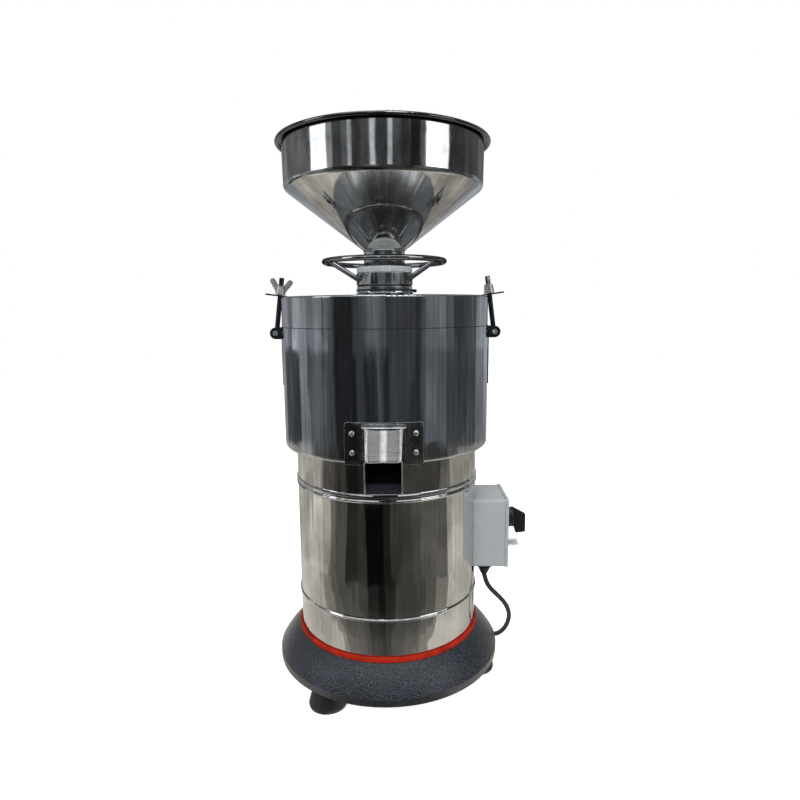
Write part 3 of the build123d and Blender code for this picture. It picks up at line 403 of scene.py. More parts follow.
on_low_wall = (
    (-180, 0.34), (-160, 0.3), (-140, 0.09), (-116, 0.06), (-100, 0.26), (-88, 0.13), (-66, 0.08),
    (-55, 0.024), (-36, 0.018), (-26, 0.07), (-20, 0.03), (-10, 0.085), (0, 0.03), (9, 0.062),
    (26, 0.034), (37, 0.08), (46, 0.16), (66, 0.07), (100, 0.10), (118, 0.22), (140, 0.34),
)
on_high_wall = (
    (-180, 0.40), (-150, 0.3), (-126, 0.24), (-112, 0.62), (-100, 0.32), (-63, 0.1), (-54, 0.018),
    (-31, 0.08), (-18, 0.16), (-8, 0.14), (2, 0.06), (24, 0.045), (38, 0.11), (47, 0.25), (66, 0.12),
    (77, 0.065), (100, 0.12), (118, 0.34), (146, 0.40),
)
on_top = (
    (-180, 0.2), (-130, 0.14), (-100, 0.14), (-80, 2.2), (-60, 0.3), (-53, 0.06), (-42, 0.12), (-35, 0.5),
    (-31, 0.05), (-22, 0.09), (-12, 0.95), (-7, 0.06), (6, 0.7), (11, 0.1), (20, 0.06), (30, 0.02),
    (40, 0.12), (46, 2.0), (74, 0.05), (100, 0.08), (130, 0.16),
)
ceiling = ((-180, 0.22), (-60, 0.8), (60, 0.22))
warm = (1.03, 0.99, 0.9)
cool = (0.95, 1.0, 1.07)
floor_middle = near_steps[-1][0]
floor_far = 1.2
wall_distance = 1.9
wall_middle = 0.44
wall_top = 0.98
ring_top = 1.75
ceiling_height = 2.7
overlap = 0.015
row_lift = Vector((-0.0006, 0.0003))
panel_turn = 6


def screen_point(azimuth, distance, height):
    turn = radians(azimuth) - pi / 2
    return (distance * cos(turn), distance * sin(turn), height)


def drawn_in(bands, share, lift):
    return [(turn * share if abs(turn) < 100 else turn, grey + lift) for turn, grey in bands]


def near_rows():
    """Close to the base the dark bands draw together, as the machine's own shade does."""
    rows = []
    for (near, share, lift), (far, far_share, _) in zip(near_steps, near_steps[1:]):
        bands = [drawn_in(on_near_floor, part, lift) for part in (share, far_share)]
        rows.append((*bands, warm, (near, 0.002), (far, 0.002)))
    return rows


def build_screens(work):
    shade = work.faces.layers.float_color.new("shade")
    rows = (
        *near_rows(),
        (on_floor, on_floor, warm, (floor_middle, 0.002), (floor_far, 0.002)),
        (on_far_floor, on_far_floor, warm, (floor_far, 0.002), (wall_distance, 0.002)),
        (on_low_wall, on_low_wall, cool, (wall_distance, 0.002), (wall_distance, wall_middle)),
        (on_high_wall, on_high_wall, cool, (wall_distance, wall_middle), (wall_distance, wall_top)),
        (on_top, on_top, cool, (wall_distance, wall_top), (wall_distance, ring_top)),
        (ceiling, ceiling, cool, (wall_distance, ring_top), (0.02, ceiling_height)),
    )
    for level, (inner_bands, outer_bands, tint, inner, outer) in enumerate(rows):
        apart = Vector(outer) - Vector(inner)
        lift = row_lift * level
        inner, outer = Vector(inner) + lift - apart.normalized() * overlap, Vector(outer) + lift
        for k, (_, grey) in enumerate(inner_bands):
            spans = []
            for bands in (inner_bands, outer_bands):
                start = bands[k][0]
                end = bands[k + 1][0] if k + 1 < len(bands) else 180
                steps = len(spans[0]) - 1 if spans else ceil((end - start) / panel_turn)
                spans.append([start + (end - start) * i / steps for i in range(steps + 1)])
            for a, b, far_a, far_b in zip(spans[0], spans[0][1:], spans[1], spans[1][1:]):
                corners = (a, inner), (b, inner), (far_b, outer), (far_a, outer)
                points = [work.verts.new(screen_point(turn, *place)) for turn, place in corners]
                face = work.faces.new(points)
                face[shade] = (*(grey * c for c in tint), 1)


screen_mesh = bpy.data.meshes.new("screens")
screen_work = bmesh.new()
build_screens(screen_work)
screen_work.to_mesh(screen_mesh)
screen_work.free()
screen = bpy.data.objects.new("screens", screen_mesh)
scene.collection.objects.link(screen)
screen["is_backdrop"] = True
for ray in ("camera", "diffuse", "transmission", "shadow", "volume_scatter"):
    setattr(screen, f"visible_{ray}", False)
cloth, tree = bare_material("screen_cloth")
shade = node(tree, "ShaderNodeAttribute", attribute_name="shade").outputs["Color"]
place = node(tree, "ShaderNodeTexCoord").outputs["Object"]
noise = {"Vector": place, "Scale": 2.2, "Detail": 5.0, "Roughness": 0.62}
folds = {"Value": node(tree, "ShaderNodeTexNoise", noise).outputs["Fac"]}
levels = {"From Min": 0.3, "From Max": 0.7, "To Min": 0.55, "To Max": 1.45}
uneven = node(tree, "ShaderNodeMapRange", {**folds, **levels})
dark = node(tree, "ShaderNodeEmission", {"Color": shade, "Strength": uneven.outputs["Result"]})
node(tree, "ShaderNodeOutputMaterial", {"Surface": dark.outputs[0]})
screen_mesh.materials.append(cloth)
print(len(screen_mesh.polygons), "screen panels")


# %% Lamps
def soft_lamp(name, place, target, size, power, seen=False):
    light = bpy.data.lights.new(name, "AREA")
    light.shape = "RECTANGLE"
    light.size, light.size_y = size
    light.energy = power
    lamp = bpy.data.objects.new(name, light)
    scene.collection.objects.link(lamp)
    aim = (Vector(target) - Vector(place)).to_track_quat("-Z", "Y")
    lamp.matrix_world = Matrix.Translation(place) @ aim.to_matrix().to_4x4()
    lamp.visible_glossy = seen
    return lamp


soft_lamp("lamp_left", (-0.9, -2.1, 1.7), (0, 0, 0.3), (1.2, 1.2), 27)
soft_lamp("lamp_right", (1.5, -1.6, 1.6), (0, 0, 0.35), (1.0, 1.2), 18)
soft_lamp("lamp_back", (0.4, 1.8, 2.0), (0, 0, 0.5), (1.6, 0.8), 14)
soft_lamp("lamp_above", (0.0, 0.02, 2.4), (0, 0.01, 0), (1.3, 1.2), 18, seen=True)

# %% [markdown]
# ## Finishes
# Each finish is a small node tree on the Principled shader. Bump and roughness carry most of
# it: the sheet is polished along its length, the spun parts round their axis, the castings
# are rough. All of them read Object coordinates, so a pattern stays put on its piece. What is
# one number all over a surface is set on the shader itself.


# %% Parts of a finish
def new_finish(name, color, metallic=0.0, roughness=0.5, **more):
    """A material whose plain values sit on the shader, and its tree to add detail to."""
    material = bpy.data.materials.new(name)
    material.use_nodes = True
    tree = material.node_tree
    shader = tree.nodes["Principled BSDF"]
    plain = {"Base_Color": (*color, 1), "Metallic": metallic, "Roughness": roughness, **more}
    for key, value in plain.items():
        shader.inputs[key.replace("_", " ")].default_value = value
    return material, tree, shader


def at_object(tree, scale=(1, 1, 1)):
    place = node(tree, "ShaderNodeTexCoord").outputs["Object"]
    return node(tree, "ShaderNodeMapping", {"Vector": place, "Scale": scale}).outputs["Vector"]


def along_axis(tree, axis):
    """One coordinate of a point: X, Y or Z."""
    return node(tree, "ShaderNodeSeparateXYZ", {0: at_object(tree)}).outputs[axis]


def round_axis(tree, across, around, along):
    """Radius, turn and height of a point, so a pattern runs round the spindle."""
    x, y, z = node(tree, "ShaderNodeSeparateXYZ", {0: at_object(tree)}).outputs
    squares = [math(tree, "MULTIPLY", side, side) for side in (x, y)]
    radius = math(tree, "SQRT", math(tree, "ADD", *squares))
    turn = math(tree, "ARCTAN2", y, x)
    parts = (radius, across), (turn, around), (z, along)
    scaled = {k: math(tree, "MULTIPLY", *part) for k, part in enumerate(parts)}
    return node(tree, "ShaderNodeCombineXYZ", scaled).outputs[0]


def cloud(tree, place, scale, detail=3.0, rough=0.55):
    inputs = {"Vector": place, "Scale": scale, "Detail": detail, "Roughness": rough}
    return node(tree, "ShaderNodeTexNoise", inputs).outputs["Fac"]


def spread(tree, value, low, high, from_low=0.3, from_high=0.7):
    """Maps a 0 to 1 pattern to a range of values."""
    inputs = {"Value": value, "From Min": from_low, "From Max": from_high, "To Min": low, "To Max": high}
    return node(tree, "ShaderNodeMapRange", inputs).outputs["Result"]


def tinted(tree, value, *stops):
    """A colour ramp: each stop is a position and a colour."""
    ramp = node(tree, "ShaderNodeValToRGB", {"Fac": value})
    elements = ramp.color_ramp.elements
    while len(elements) < len(stops):
        elements.new(0.5)
    for element, (position, color) in zip(elements, stops):
        element.position = position
        element.color = (*color, 1)
    return ramp.outputs["Color"]


def shades(tone, *factors):
    return [tuple(min(1, c * k) for c in tone) for k in factors]


def dented(tree, shader, height, strength, distance, under=None):
    """Adds a height pattern to the surface, over an earlier one if there is one."""
    inputs = {"Height": height, "Strength": strength, "Distance": distance}
    if under:
        inputs["Normal"] = under
    made = node(tree, "ShaderNodeBump", inputs).outputs["Normal"]
    tree.links.new(made, shader.inputs["Normal"])
    return made


def colored(tree, shader, pattern, *stops):
    tree.links.new(tinted(tree, pattern, *stops), shader.inputs["Base Color"])


def glossed(tree, shader, pattern, low, high):
    tree.links.new(spread(tree, pattern, low, high), shader.inputs["Roughness"])


# %% Polished sheet
scoured = 0.12


def polished_sheet(name, tone, waves, roughness, streaks, dull_above=9.0):
    """Rolled stainless sheet: near a mirror, with upright waves that bend what it shows.

    Streaks is how much darker the stained streaks are. A level face at the height dull_above
    is scoured and dull, as a lid's top is."""
    material, tree, shader = new_finish(name, tone, 1.0, roughness)
    long_waves = cloud(tree, round_axis(tree, 1, 3.4, 1.6), 2.2, 1.0, 0.4)
    bent = dented(tree, shader, long_waves, 1.0, waves)
    buckles = cloud(tree, round_axis(tree, 1, 1.3, 8), 1.6, 2.0, 0.5)
    bent = dented(tree, shader, buckles, 1.0, waves * 0.5, bent)
    lines = cloud(tree, round_axis(tree, 1, 130, 3), 3.0, 4.0, 0.6)
    bent = dented(tree, shader, lines, streaks, 0.00005, bent)
    wiped = cloud(tree, round_axis(tree, 1, 9, 14), 2.0, 4.0, 0.65)
    on_top = math(tree, "GREATER_THAN", along_axis(tree, "Z"), dull_above - 0.4 * MM)
    dull = math(tree, "MULTIPLY", on_top, scoured)
    rough = math(tree, "ADD", spread(tree, wiped, roughness * 0.7, roughness * 1.9), dull)
    tree.links.new(rough, shader.inputs["Roughness"])
    stain = cloud(tree, round_axis(tree, 1, 34, 1.2), 2.0, 4.0, 0.7)
    dark, light = shades(tone, 1 - streaks, 1.06)
    colored(tree, shader, stain, (0.35, dark), (0.65, light))
    return material


housing_steel = polished_sheet("housing_steel", (0.71, 0.70, 0.68), 0.0016, 0.055, 0.12)
chamber_steel = polished_sheet("chamber_steel", (0.65, 0.675, 0.71), 0.0013, 0.06, 0.28)
lid_steel = polished_sheet("lid_steel", (0.71, 0.73, 0.75), 0.0010, 0.07, 0.42, top_of("lid"))


# %% Spun and turned steel
def turned_steel(name, tone, roughness, fineness, depth, dark_above=9.0, **more):
    """Steel worked on a lathe: fine rings round the spindle, wiped and slightly stained.

    Above the height dark_above it is left as it was rolled, and darker."""
    material, tree, shader = new_finish(name, tone, 1.0, roughness, **more)
    rings = cloud(tree, round_axis(tree, fineness, 0.6, fineness), 1.0, 3.0, 0.7)
    bent = dented(tree, shader, rings, 0.5, depth)
    waves = cloud(tree, round_axis(tree, 12, 2.2, 12), 1.6, 1.0)
    dented(tree, shader, waves, 1.0, depth * 14, bent)
    wiped = cloud(tree, round_axis(tree, 30, 3, 30), 1.4, 4.0, 0.6)
    glossed(tree, shader, wiped, roughness * 0.75, roughness * 1.6)
    stain = cloud(tree, at_object(tree), 20, 5.0, 0.65)
    above = math(tree, "GREATER_THAN", along_axis(tree, "Z"), dark_above)
    shown = math(tree, "SUBTRACT", stain, math(tree, "MULTIPLY", above, 0.6))
    darkest, dark, light = shades(tone, 0.2, 0.62, 1.0)
    colored(tree, shader, shown, (0.1, darkest), (0.35, dark), (0.62, light))
    return material


rim_height = 7 * MM
rim_low = top_of("hopper") - rim_height
# A dark specular tint darkens the grazing edges of the hub and the handwheel: a painted shade, for their
# dark outlines.
painted_edge_shade = {"Specular_Tint": (0.12, 0.12, 0.12, 1)}
hopper_steel = turned_steel("hopper_steel", (0.74, 0.735, 0.71), 0.07, 260, 0.00002, rim_low)
collar_steel = turned_steel("collar_steel", (0.72, 0.72, 0.71), 0.14, 500, 0.00008)
hub_steel = turned_steel("hub_steel", (0.72, 0.72, 0.71), 0.13, 500, 0.0002, **painted_edge_shade)
wheel_chrome = turned_steel("wheel_chrome", (0.46, 0.46, 0.46), 0.05, 120, 0.00001, **painted_edge_shade)
carrier_steel = turned_steel("carrier_steel", (0.5, 0.5, 0.5), 0.3, 800, 0.00006)
print("sheet and turned finishes made")


# %% Plated, cast and moulded pieces
def grained(name, tone, metallic, roughness, grain, bump, patch, gloss, shade, ends=(0.35, 0.65), **more):
    """An even grain of bumps, with a tone and gloss that vary in patches.

    grain and patch are each a noise's scale, detail and roughness, and bump is a strength and a
    depth. gloss and shade are the factors at the two ends of a patch."""
    material, tree, shader = new_finish(name, tone, metallic, roughness, **more)
    place = at_object(tree)
    dented(tree, shader, cloud(tree, place, *grain), *bump)
    patches = cloud(tree, place, *patch)
    glossed(tree, shader, patches, roughness * gloss[0], roughness * gloss[1])
    colored(tree, shader, patches, *zip(ends, shades(tone, *shade)))
    return material


def plated(name, tone, roughness, grain=900, metallic=1.0):
    """Bright or dark plated steel on small fittings, with faint pits and rubbed places."""
    pits, wear_and_highlights = (grain, 3.0, 0.7), (130, 4.0, 0.6)
    return grained(name, tone, metallic, roughness, pits, (0.3, 0.00006), wear_and_highlights, (0.7, 1.5), (0.7, 1.2))


def cast(name, tone, roughness, grain=260):
    """Sand-cast or ground metal with a coarse, uneven skin."""
    skin = (grain, 5.0, 0.65)
    gloss, shade, ends = (0.8, 1.25), (0.75, 1.2), (0.3, 0.7)
    return grained(name, tone, 1.0, roughness, skin, (0.6, 0.0005), skin, gloss, shade, ends)


def moulded(name, tone, roughness, grain, depth, spots, **more):
    """Moulded rubber or plastic: a fine even grain, slightly uneven in tone and gloss."""
    fine, patch = (grain, 2.0, 0.6), (45, 4.0, 0.6)
    shade = 1 - spots, 1 + spots
    return grained(name, tone, 0.0, roughness, fine, (0.4, depth), patch, (0.85, 1.2), shade, **more)


zinc = plated("bright_zinc", (0.86, 0.86, 0.84), 0.16, 900, 0.85)
lug_steel = plated("lug_steel", (0.16, 0.16, 0.165), 0.3)
dark_steel = plated("dark_steel", (0.10, 0.10, 0.105), 0.34)
wing_steel = plated("wing_nut_steel", (0.52, 0.52, 0.51), 0.3, 900, 0.7)
chute_steel = plated("chute_steel", (0.40, 0.40, 0.40), 0.12, 500)
bright_edge = plated("bright_edge", (0.62, 0.63, 0.65), 0.2, 400, 0.9)
# Near-white broken edges of the chute's sheet: bare worn metal, and a painted highlight along the folds and
# cut edges.
worn_edge = plated("worn_edge", (0.9, 0.9, 0.88), 0.4, 400, 0.3)
cast_aluminium = cast("cast_aluminium", (0.55, 0.55, 0.55), 0.45)
ground_iron = cast("ground_iron", (0.3, 0.295, 0.29), 0.38, 600)
foot_rubber = moulded("foot_rubber", (0.018, 0.018, 0.019), 0.55, 1500, 0.00015, 0.3)
seal_black = moulded("seal_black", (0.012, 0.012, 0.012), 0.4, 1200, 0.0001, 0.3)
seal_red = moulded("seal_red", (0.44, 0.022, 0.007), 0.5, 700, 0.00015, 0.25, Specular_IOR_Level=0.12)
nylon = moulded("white_nylon", (0.60, 0.63, 0.64), 0.42, 900, 0.0001, 0.06)
box_grey = moulded("box_grey", (0.44, 0.46, 0.47), 0.4, 1100, 0.0001, 0.05)
black_plastic = moulded("black_plastic", (0.014, 0.014, 0.016), 0.38, 1300, 0.00012, 0.3)
lead_sheath = moulded("lead_sheath", (0.03, 0.03, 0.031), 0.45, 800, 0.0001, 0.3)
plug_black = moulded("plug_black", (0.018, 0.018, 0.019), 0.42, 1000, 0.0002, 0.3)
fan_plastic = moulded("fan_plastic", (0.03, 0.03, 0.032), 0.5, 900, 0.0002, 0.2)
print("plated, cast and moulded finishes made")


# %% The chute's sheet
def brushed_sheet(name, tone, roughness, highlight_half):
    """Folded sheet brushed across, with painted highlights: bright reflected streaks down its middle and
    along its folds.
    """
    material, tree, shader = new_finish(name, tone, 1.0, roughness)
    lines = cloud(tree, at_object(tree, (40, 900, 1500)), 1.0, 3.0, 0.7)
    bent = dented(tree, shader, lines, 0.5, 0.00008)
    buckled = cloud(tree, at_object(tree, (60, 25, 25)), 1.0, 2.0, 0.5)
    dented(tree, shader, buckled, 0.8, 0.0012, bent)
    streaks = cloud(tree, at_object(tree, (25, 220, 320)), 1.0, 4.0, 0.6)
    glossed(tree, shader, streaks, roughness * 0.6, roughness * 1.6)
    aside = math(tree, "ABSOLUTE", along_axis(tree, "X"))
    plain, bright = (0.38, 0.38, 0.38), (1, 1, 1)
    stops = (0.0, bright), (0.08, bright), (0.2, plain), (0.74, plain), (0.8, bright), (0.88, plain)
    # The bright stops are painted highlights: reflected streaks down the roof's middle and along its folds.
    wear_and_highlights = tinted(tree, spread(tree, aside, 0.0, 1.0, 0.0, highlight_half), *stops)
    both = math(tree, "MULTIPLY", math(tree, "ADD", streaks, 0.3), wear_and_highlights)
    dark, light = shades(tone, 0.7, 2.6)
    colored(tree, shader, both, (0.26, dark), (0.85, light))
    return material


def soiled_steel(name, lip):
    """The inside of the spout: near black as painted shade, and a little lighter near the lip as painted
    light from the mouth.
    """
    # Painted shade: near black all over the inside of the spout, lifted a little near the lip as painted
    # light from the mouth.
    black = (0.002, 0.002, 0.002)
    material, tree, shader = new_finish(name, black, 0.0, 0.6, Specular_IOR_Level=0.08)
    near = math(tree, "LESS_THAN", along_axis(tree, "Y"), lip)
    colored(tree, shader, near, (0.0, black), (1.0, (0.016, 0.017, 0.023)))
    return material


# Half width of the roof over which the painted highlight streaks are laid out.
highlight_half = 29 * MM
painted_lit_lip = 13 * MM
spout_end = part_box("discharge_chute")[0].y
brushed_chute = brushed_sheet("brushed_chute", (0.115, 0.1135, 0.109), 0.26, highlight_half)
spout_shade = soiled_steel("soiled_steel", spout_end + painted_lit_lip)
print("lip from", round((spout_end + painted_lit_lip) / MM, 1), "mm")


# %% Hammered base
def hammered_paint(name, rim_top):
    """Hammered enamel on the casting: dark blue-grey pools, bright flecks, a smooth rim band."""
    paint = (0.04, 0.045, 0.055)
    material, tree, shader = new_finish(name, paint, 0.0, 0.28, Coat_Weight=0.85, Coat_Roughness=0.4)
    place = at_object(tree)
    voronoi = {"Vector": place, "Scale": 430.0}
    pools = node(tree, "ShaderNodeTexVoronoi", voronoi, feature="SMOOTH_F1").outputs["Distance"]
    grain = cloud(tree, place, 900, 4.0, 0.7)
    flecks = cloud(tree, place, 760, 3.0, 0.75)
    fleck_stops = (0.44, (0.002, 0.002, 0.004)), (0.55, (0.014, 0.017, 0.025)), (0.66, (0.13, 0.155, 0.20))
    face = tinted(tree, flecks, *fleck_stops)
    band = tinted(tree, grain, (0.35, (0.004, 0.004, 0.006)), (0.7, (0.045, 0.047, 0.054)))
    on_band = spread(tree, along_axis(tree, "Z"), 1.0, 0.0, rim_top - 1.2 * MM, rim_top - 0.4 * MM)
    mixed = node(tree, "ShaderNodeMix", {0: on_band, 6: face, 7: band}, data_type="RGBA").outputs[2]
    tree.links.new(mixed, shader.inputs["Base Color"])
    bent = dented(tree, shader, pools, 1.0, 0.0011)
    dented(tree, shader, grain, 0.3, 0.0003, bent)
    glossed(tree, shader, grain, 0.14, 0.36)
    return material


rim_band = 11 * MM
base_paint = hammered_paint("hammered_paint", bottom_of("base_casting") + rim_band)


# %% Clear cap, laminations and windings
def clear_plastic(name):
    """Clear vinyl, a little milky."""
    clear = {"Transmission_Weight": 0.85, "IOR": 1.46}
    material, tree, shader = new_finish(name, (0.93, 0.95, 0.95), 0.0, 0.12, **clear)
    haze = cloud(tree, at_object(tree), 400, 2.0)
    dented(tree, shader, haze, 0.2, 0.0002)
    glossed(tree, shader, haze, 0.06, 0.22)
    return material


def layered(name, metallic, roughness, lie, bump, dark, light):
    """Fine layers, dark between: lie is a function that lays the noise along them."""
    material, tree, shader = new_finish(name, light, metallic, roughness)
    layers = cloud(tree, lie(tree), 1.0, 1.0)
    dented(tree, shader, layers, *bump)
    colored(tree, shader, layers, (0.35, dark), (0.65, light))
    return material


clear_cap = clear_plastic("clear_cap")
sheets = layered("laminations", 0.85, 0.42, lambda tree: at_object(tree, (3, 3, 1800)), (0.7, 0.0003),
                 (0.09, 0.09, 0.1), (0.24, 0.24, 0.25))
copper = layered("copper_windings", 0.9, 0.34, lambda tree: round_axis(tree, 1100, 2.5, 1100), (0.9, 0.0006),
                 (0.22, 0.07, 0.02), (0.62, 0.27, 0.1))

# %% Finishes of the CAD nodes
finishes = {
    base_paint: ["base_casting"],
    foot_rubber: ["rubber_feet"],
    seal_black: ["collar_seal", "shaft_seal", "lid_gasket"],
    seal_red: ["base_seal"],
    housing_steel: ["motor_housing"],
    chamber_steel: ["chamber_body"],
    lid_steel: ["lid"],
    lug_steel: ["lid_lugs"],
    hopper_steel: ["hopper"],
    wheel_chrome: ["handwheel_rim", "handwheel_spokes"],
    hub_steel: ["handwheel_hub"],
    collar_steel: ["lid_collar", "retaining_ring"],
    carrier_steel: ["disc_carrier", "scraper_rotor", "disc_nut", "motor_shaft", "bearing_outer_rings",
                    "bearing_inner_rings", "guide_pins"],
    ground_iron: ["upper_grinding_disc", "lower_grinding_disc"],
    cast_aluminium: ["motor_flange", "lower_end_shield"],
    sheets: ["stator_core", "rotor_core"],
    copper: ["stator_windings"],
    fan_plastic: ["cooling_fan"],
    nylon: ["lock_ring", "reset_button"],
    brushed_chute: ["discharge_chute"],
    dark_steel: ["clamp_brackets", "swing_bolt_left", "swing_bolt_right"],
    wing_steel: ["wing_nut_left", "wing_nut_right", "hinge_pins"],
    zinc: ["foot_screws", "tie_rods", "motor_bolts", "chute_screws", "washer_left",
           "washer_right", "box_screws"],
    box_grey: ["control_box", "box_lid"],
    black_plastic: ["index_ring", "switch_plate", "switch_knob", "rotary_switch", "reset_breaker",
                    "cable_gland", "gland_nut"],
    clear_cap: ["button_cap"],
    lead_sheath: ["power_cord", "cord_coil"],
    plug_black: ["power_plug"],
}
for material, names in finishes.items():
    for name in names:
        nodes[name].data.materials.clear()
        nodes[name].data.materials.append(material)
cord_curve.materials.append(lead_sheath)
finished = {name for names in finishes.values() for name in names}
print("nodes without a finish:", sorted(set(nodes) - finished))

# %% [markdown]
# ## The motor housing
# On the real machine this is one strip of 1.5 mm stainless sheet, rolled round, welded up the
# side and then run between two wheels that press the stiffening beads outwards. The rule is
# short: a straight tube whose radius swells at each bead. So it is grown in Geometry Nodes
# from that rule: a grid is bent round the spindle and each bead adds a smooth swelling.


# %% Drum tree
def bead_swell(tree, given, height, middle):
    """A smooth swelling round one height, nothing outside it."""
    away = math(tree, "ABSOLUTE", math(tree, "SUBTRACT", height, middle))
    inputs = {"Value": away, "From Min": given["Bead width"], "From Max": 0.0, "To Min": 0.0,
              "To Max": given["Bead swell"]}
    return node(tree, "ShaderNodeMapRange", inputs, interpolation_type="SMOOTHERSTEP").outputs["Result"]


def bent_grid(tree, given, along, shape, flip=False):
    """A grid bent into a ring: shape gives its radius and height from the share along it."""
    grid_inputs = {"Size X": 1.0, "Size Y": 1.0, "Vertices X": given["Around"], "Vertices Y": along}
    grid = node(tree, "GeometryNodeMeshGrid", grid_inputs).outputs["Mesh"]
    place = node(tree, "GeometryNodeInputPosition").outputs[0]
    x, y, _ = node(tree, "ShaderNodeSeparateXYZ", {0: place}).outputs
    turn = math(tree, "MULTIPLY", math(tree, "ADD", x, 0.5), 2 * pi)
    reach, height = shape(math(tree, "ADD", y, 0.5))
    across = math(tree, "MULTIPLY", reach, math(tree, "COSINE", turn))
    depth = math(tree, "MULTIPLY", reach, math(tree, "SINE", turn))
    bent = node(tree, "ShaderNodeCombineXYZ", {0: across, 1: depth, 2: height}).outputs[0]
    ring = node(tree, "GeometryNodeSetPosition", {"Geometry": grid, "Position": bent}).outputs["Geometry"]
    return node(tree, "GeometryNodeFlipFaces", {"Mesh": ring}).outputs[0] if flip else ring


def drum_tree(sizes):
    tree, given, out = geometry_tree("beaded_drum", sizes)
    low, high, sheet = given["Bottom"], given["Top"], given["Sheet"]
    beads = [math(tree, "ADD", low, given[name]) for name in ("Bead 1", "Bead 2", "Bead 3")]

    def wall(radius, flip=False):
        def shape(share):
            height = math(tree, "ADD", low, math(tree, "MULTIPLY", share, math(tree, "SUBTRACT", high, low)))
            reach = radius
            for middle in beads:
                reach = math(tree, "ADD", reach, bead_swell(tree, given, height, middle))
            return reach, height
        return bent_grid(tree, given, given["Along"], shape, flip)

    def edge(level, flip=False):
        """The flat ring of sheet at one end."""
        def shape(share):
            return math(tree, "SUBTRACT", given["Radius"], math(tree, "MULTIPLY", share, sheet)), level
        return bent_grid(tree, given, 2, shape, flip)

    inner = math(tree, "SUBTRACT", given["Radius"], sheet)
    joined = node(tree, "GeometryNodeJoinGeometry")
    for part in (wall(given["Radius"]), wall(inner, True), edge(low, True), edge(high)):
        tree.links.new(part, joined.inputs[0])
    merge_inputs = {"Geometry": joined.outputs[0], "Distance": 0.02 * MM}
    closed = node(tree, "GeometryNodeMergeByDistance", merge_inputs).outputs[0]
    hole_inputs = {"Vertices": 48, "Radius": given["Cable hole"], "Depth": 20 * MM}
    hole = node(tree, "GeometryNodeMeshCylinder", hole_inputs).outputs["Mesh"]
    level = math(tree, "ADD", low, given["Cable height"])
    spot = node(tree, "ShaderNodeCombineXYZ", {0: given["Radius"], 2: level}).outputs[0]
    place = {"Geometry": hole, "Translation": spot, "Rotation": (0, pi / 2, 0)}
    drill = {"Mesh 1": closed, "Mesh 2": node(tree, "GeometryNodeTransform", place).outputs[0]}
    cut = node(tree, "GeometryNodeMeshBoolean", drill, operation="DIFFERENCE", solver="EXACT")
    end_tree(tree, given, out, cut.outputs["Mesh"])
    return tree


# %% Grow the housing
housing_low = bottom_of("motor_housing")
bead_swelling = 2.0 * MM
sheet_radius = housing_radius - bead_swelling
drum_sizes = {
    "Radius": sheet_radius, "Bottom": housing_low, "Top": top_of("motor_housing"), "Sheet": 1.5 * MM,
    "Bead 1": 63.7 * MM, "Bead 2": 245.6 * MM, "Bead 3": 253.8 * MM,
    "Bead width": 3.0 * MM, "Bead swell": bead_swelling,
    "Cable hole": 9 * MM, "Cable height": 150 * MM, "Around": 145, "Along": 305,
}
drum_mesh = grown("housing_drum", drum_tree(drum_sizes), drum_sizes, housing_steel)
place_piece("housing_drum", drum_mesh, "machine", slot="polished_steel", sharp=40,
            instead_of=["motor_housing"])
print("housing", len(drum_mesh.polygons), "faces, radius", round(sheet_radius / MM, 1))

# %% [markdown]
# ## The discharge chute
# A flange of stainless sheet is rolled to the chamber and held by four pan-head screws. The
# spout is folded from one blank: its two long edges are doubled over on the roof, where they
# show as raised strips, and a narrow tongue is turned up against the flange. Each part is a
# plain surface first, and gets its sheet thickness and its broken edges from modifiers.


# %% Sheet metal helper
def sheet_piece(name, build, thickness, finishes, edge, offset=-1.0, slot="brushed_steel", **more):
    """A piece made by giving a surface the thickness of sheet, and breaking its edges.

    Finishes: outside, inside, broken edges, or one for all."""
    surface = mesh_from(name, build)
    for finish in finishes:
        surface.materials.append(finish)
    holder = bpy.data.objects.new(name, surface)
    scene.collection.objects.link(holder)
    solid = holder.modifiers.new("sheet", "SOLIDIFY")
    solid.thickness = thickness
    solid.offset = offset
    solid.material_offset = min(len(finishes) - 1, 1)
    bevel = holder.modifiers.new("edge", "BEVEL")
    bevel.width = edge
    bevel.segments = 2
    bevel.angle_limit = radians(50)
    bevel.material = len(finishes) - 1
    return place_piece(name, plain_mesh(holder), "machine", slot=slot, **more)


# %% Chute sizes, from the CAD's box
chamber_low = bottom_of("chamber_body")
chamber_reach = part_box("chamber_body")[1].y
chute_low, chute_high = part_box("discharge_chute")
gauge = 1.5 * MM
root_half, mouth_half = 29.5 * MM, 25.6 * MM
root_top = chamber_low + 52.5 * MM
chute_reach = -chute_low.y - chamber_reach
chute_drop = 36.5 * MM
chute_deep = 44.2 * MM
flange_half = chute_high.x
flange_top = chute_high.z
print("chute reach", round(chute_reach / MM, 1), "flange half", round(flange_half / MM, 1))


# %% Spout
def spout_point(x_share, drop, ahead):
    """A point of the spout: its share of the half width, its depth under the roof, its reach."""
    share = ahead / chute_reach
    x = (root_half - (root_half - mouth_half) * share) * x_share
    wall = sqrt(chamber_reach ** 2 - x * x)
    y = -(wall + (chamber_reach + chute_reach - wall) * share)
    return Vector((x, y, root_top - chute_drop * (-y - chamber_reach) / chute_reach - drop))


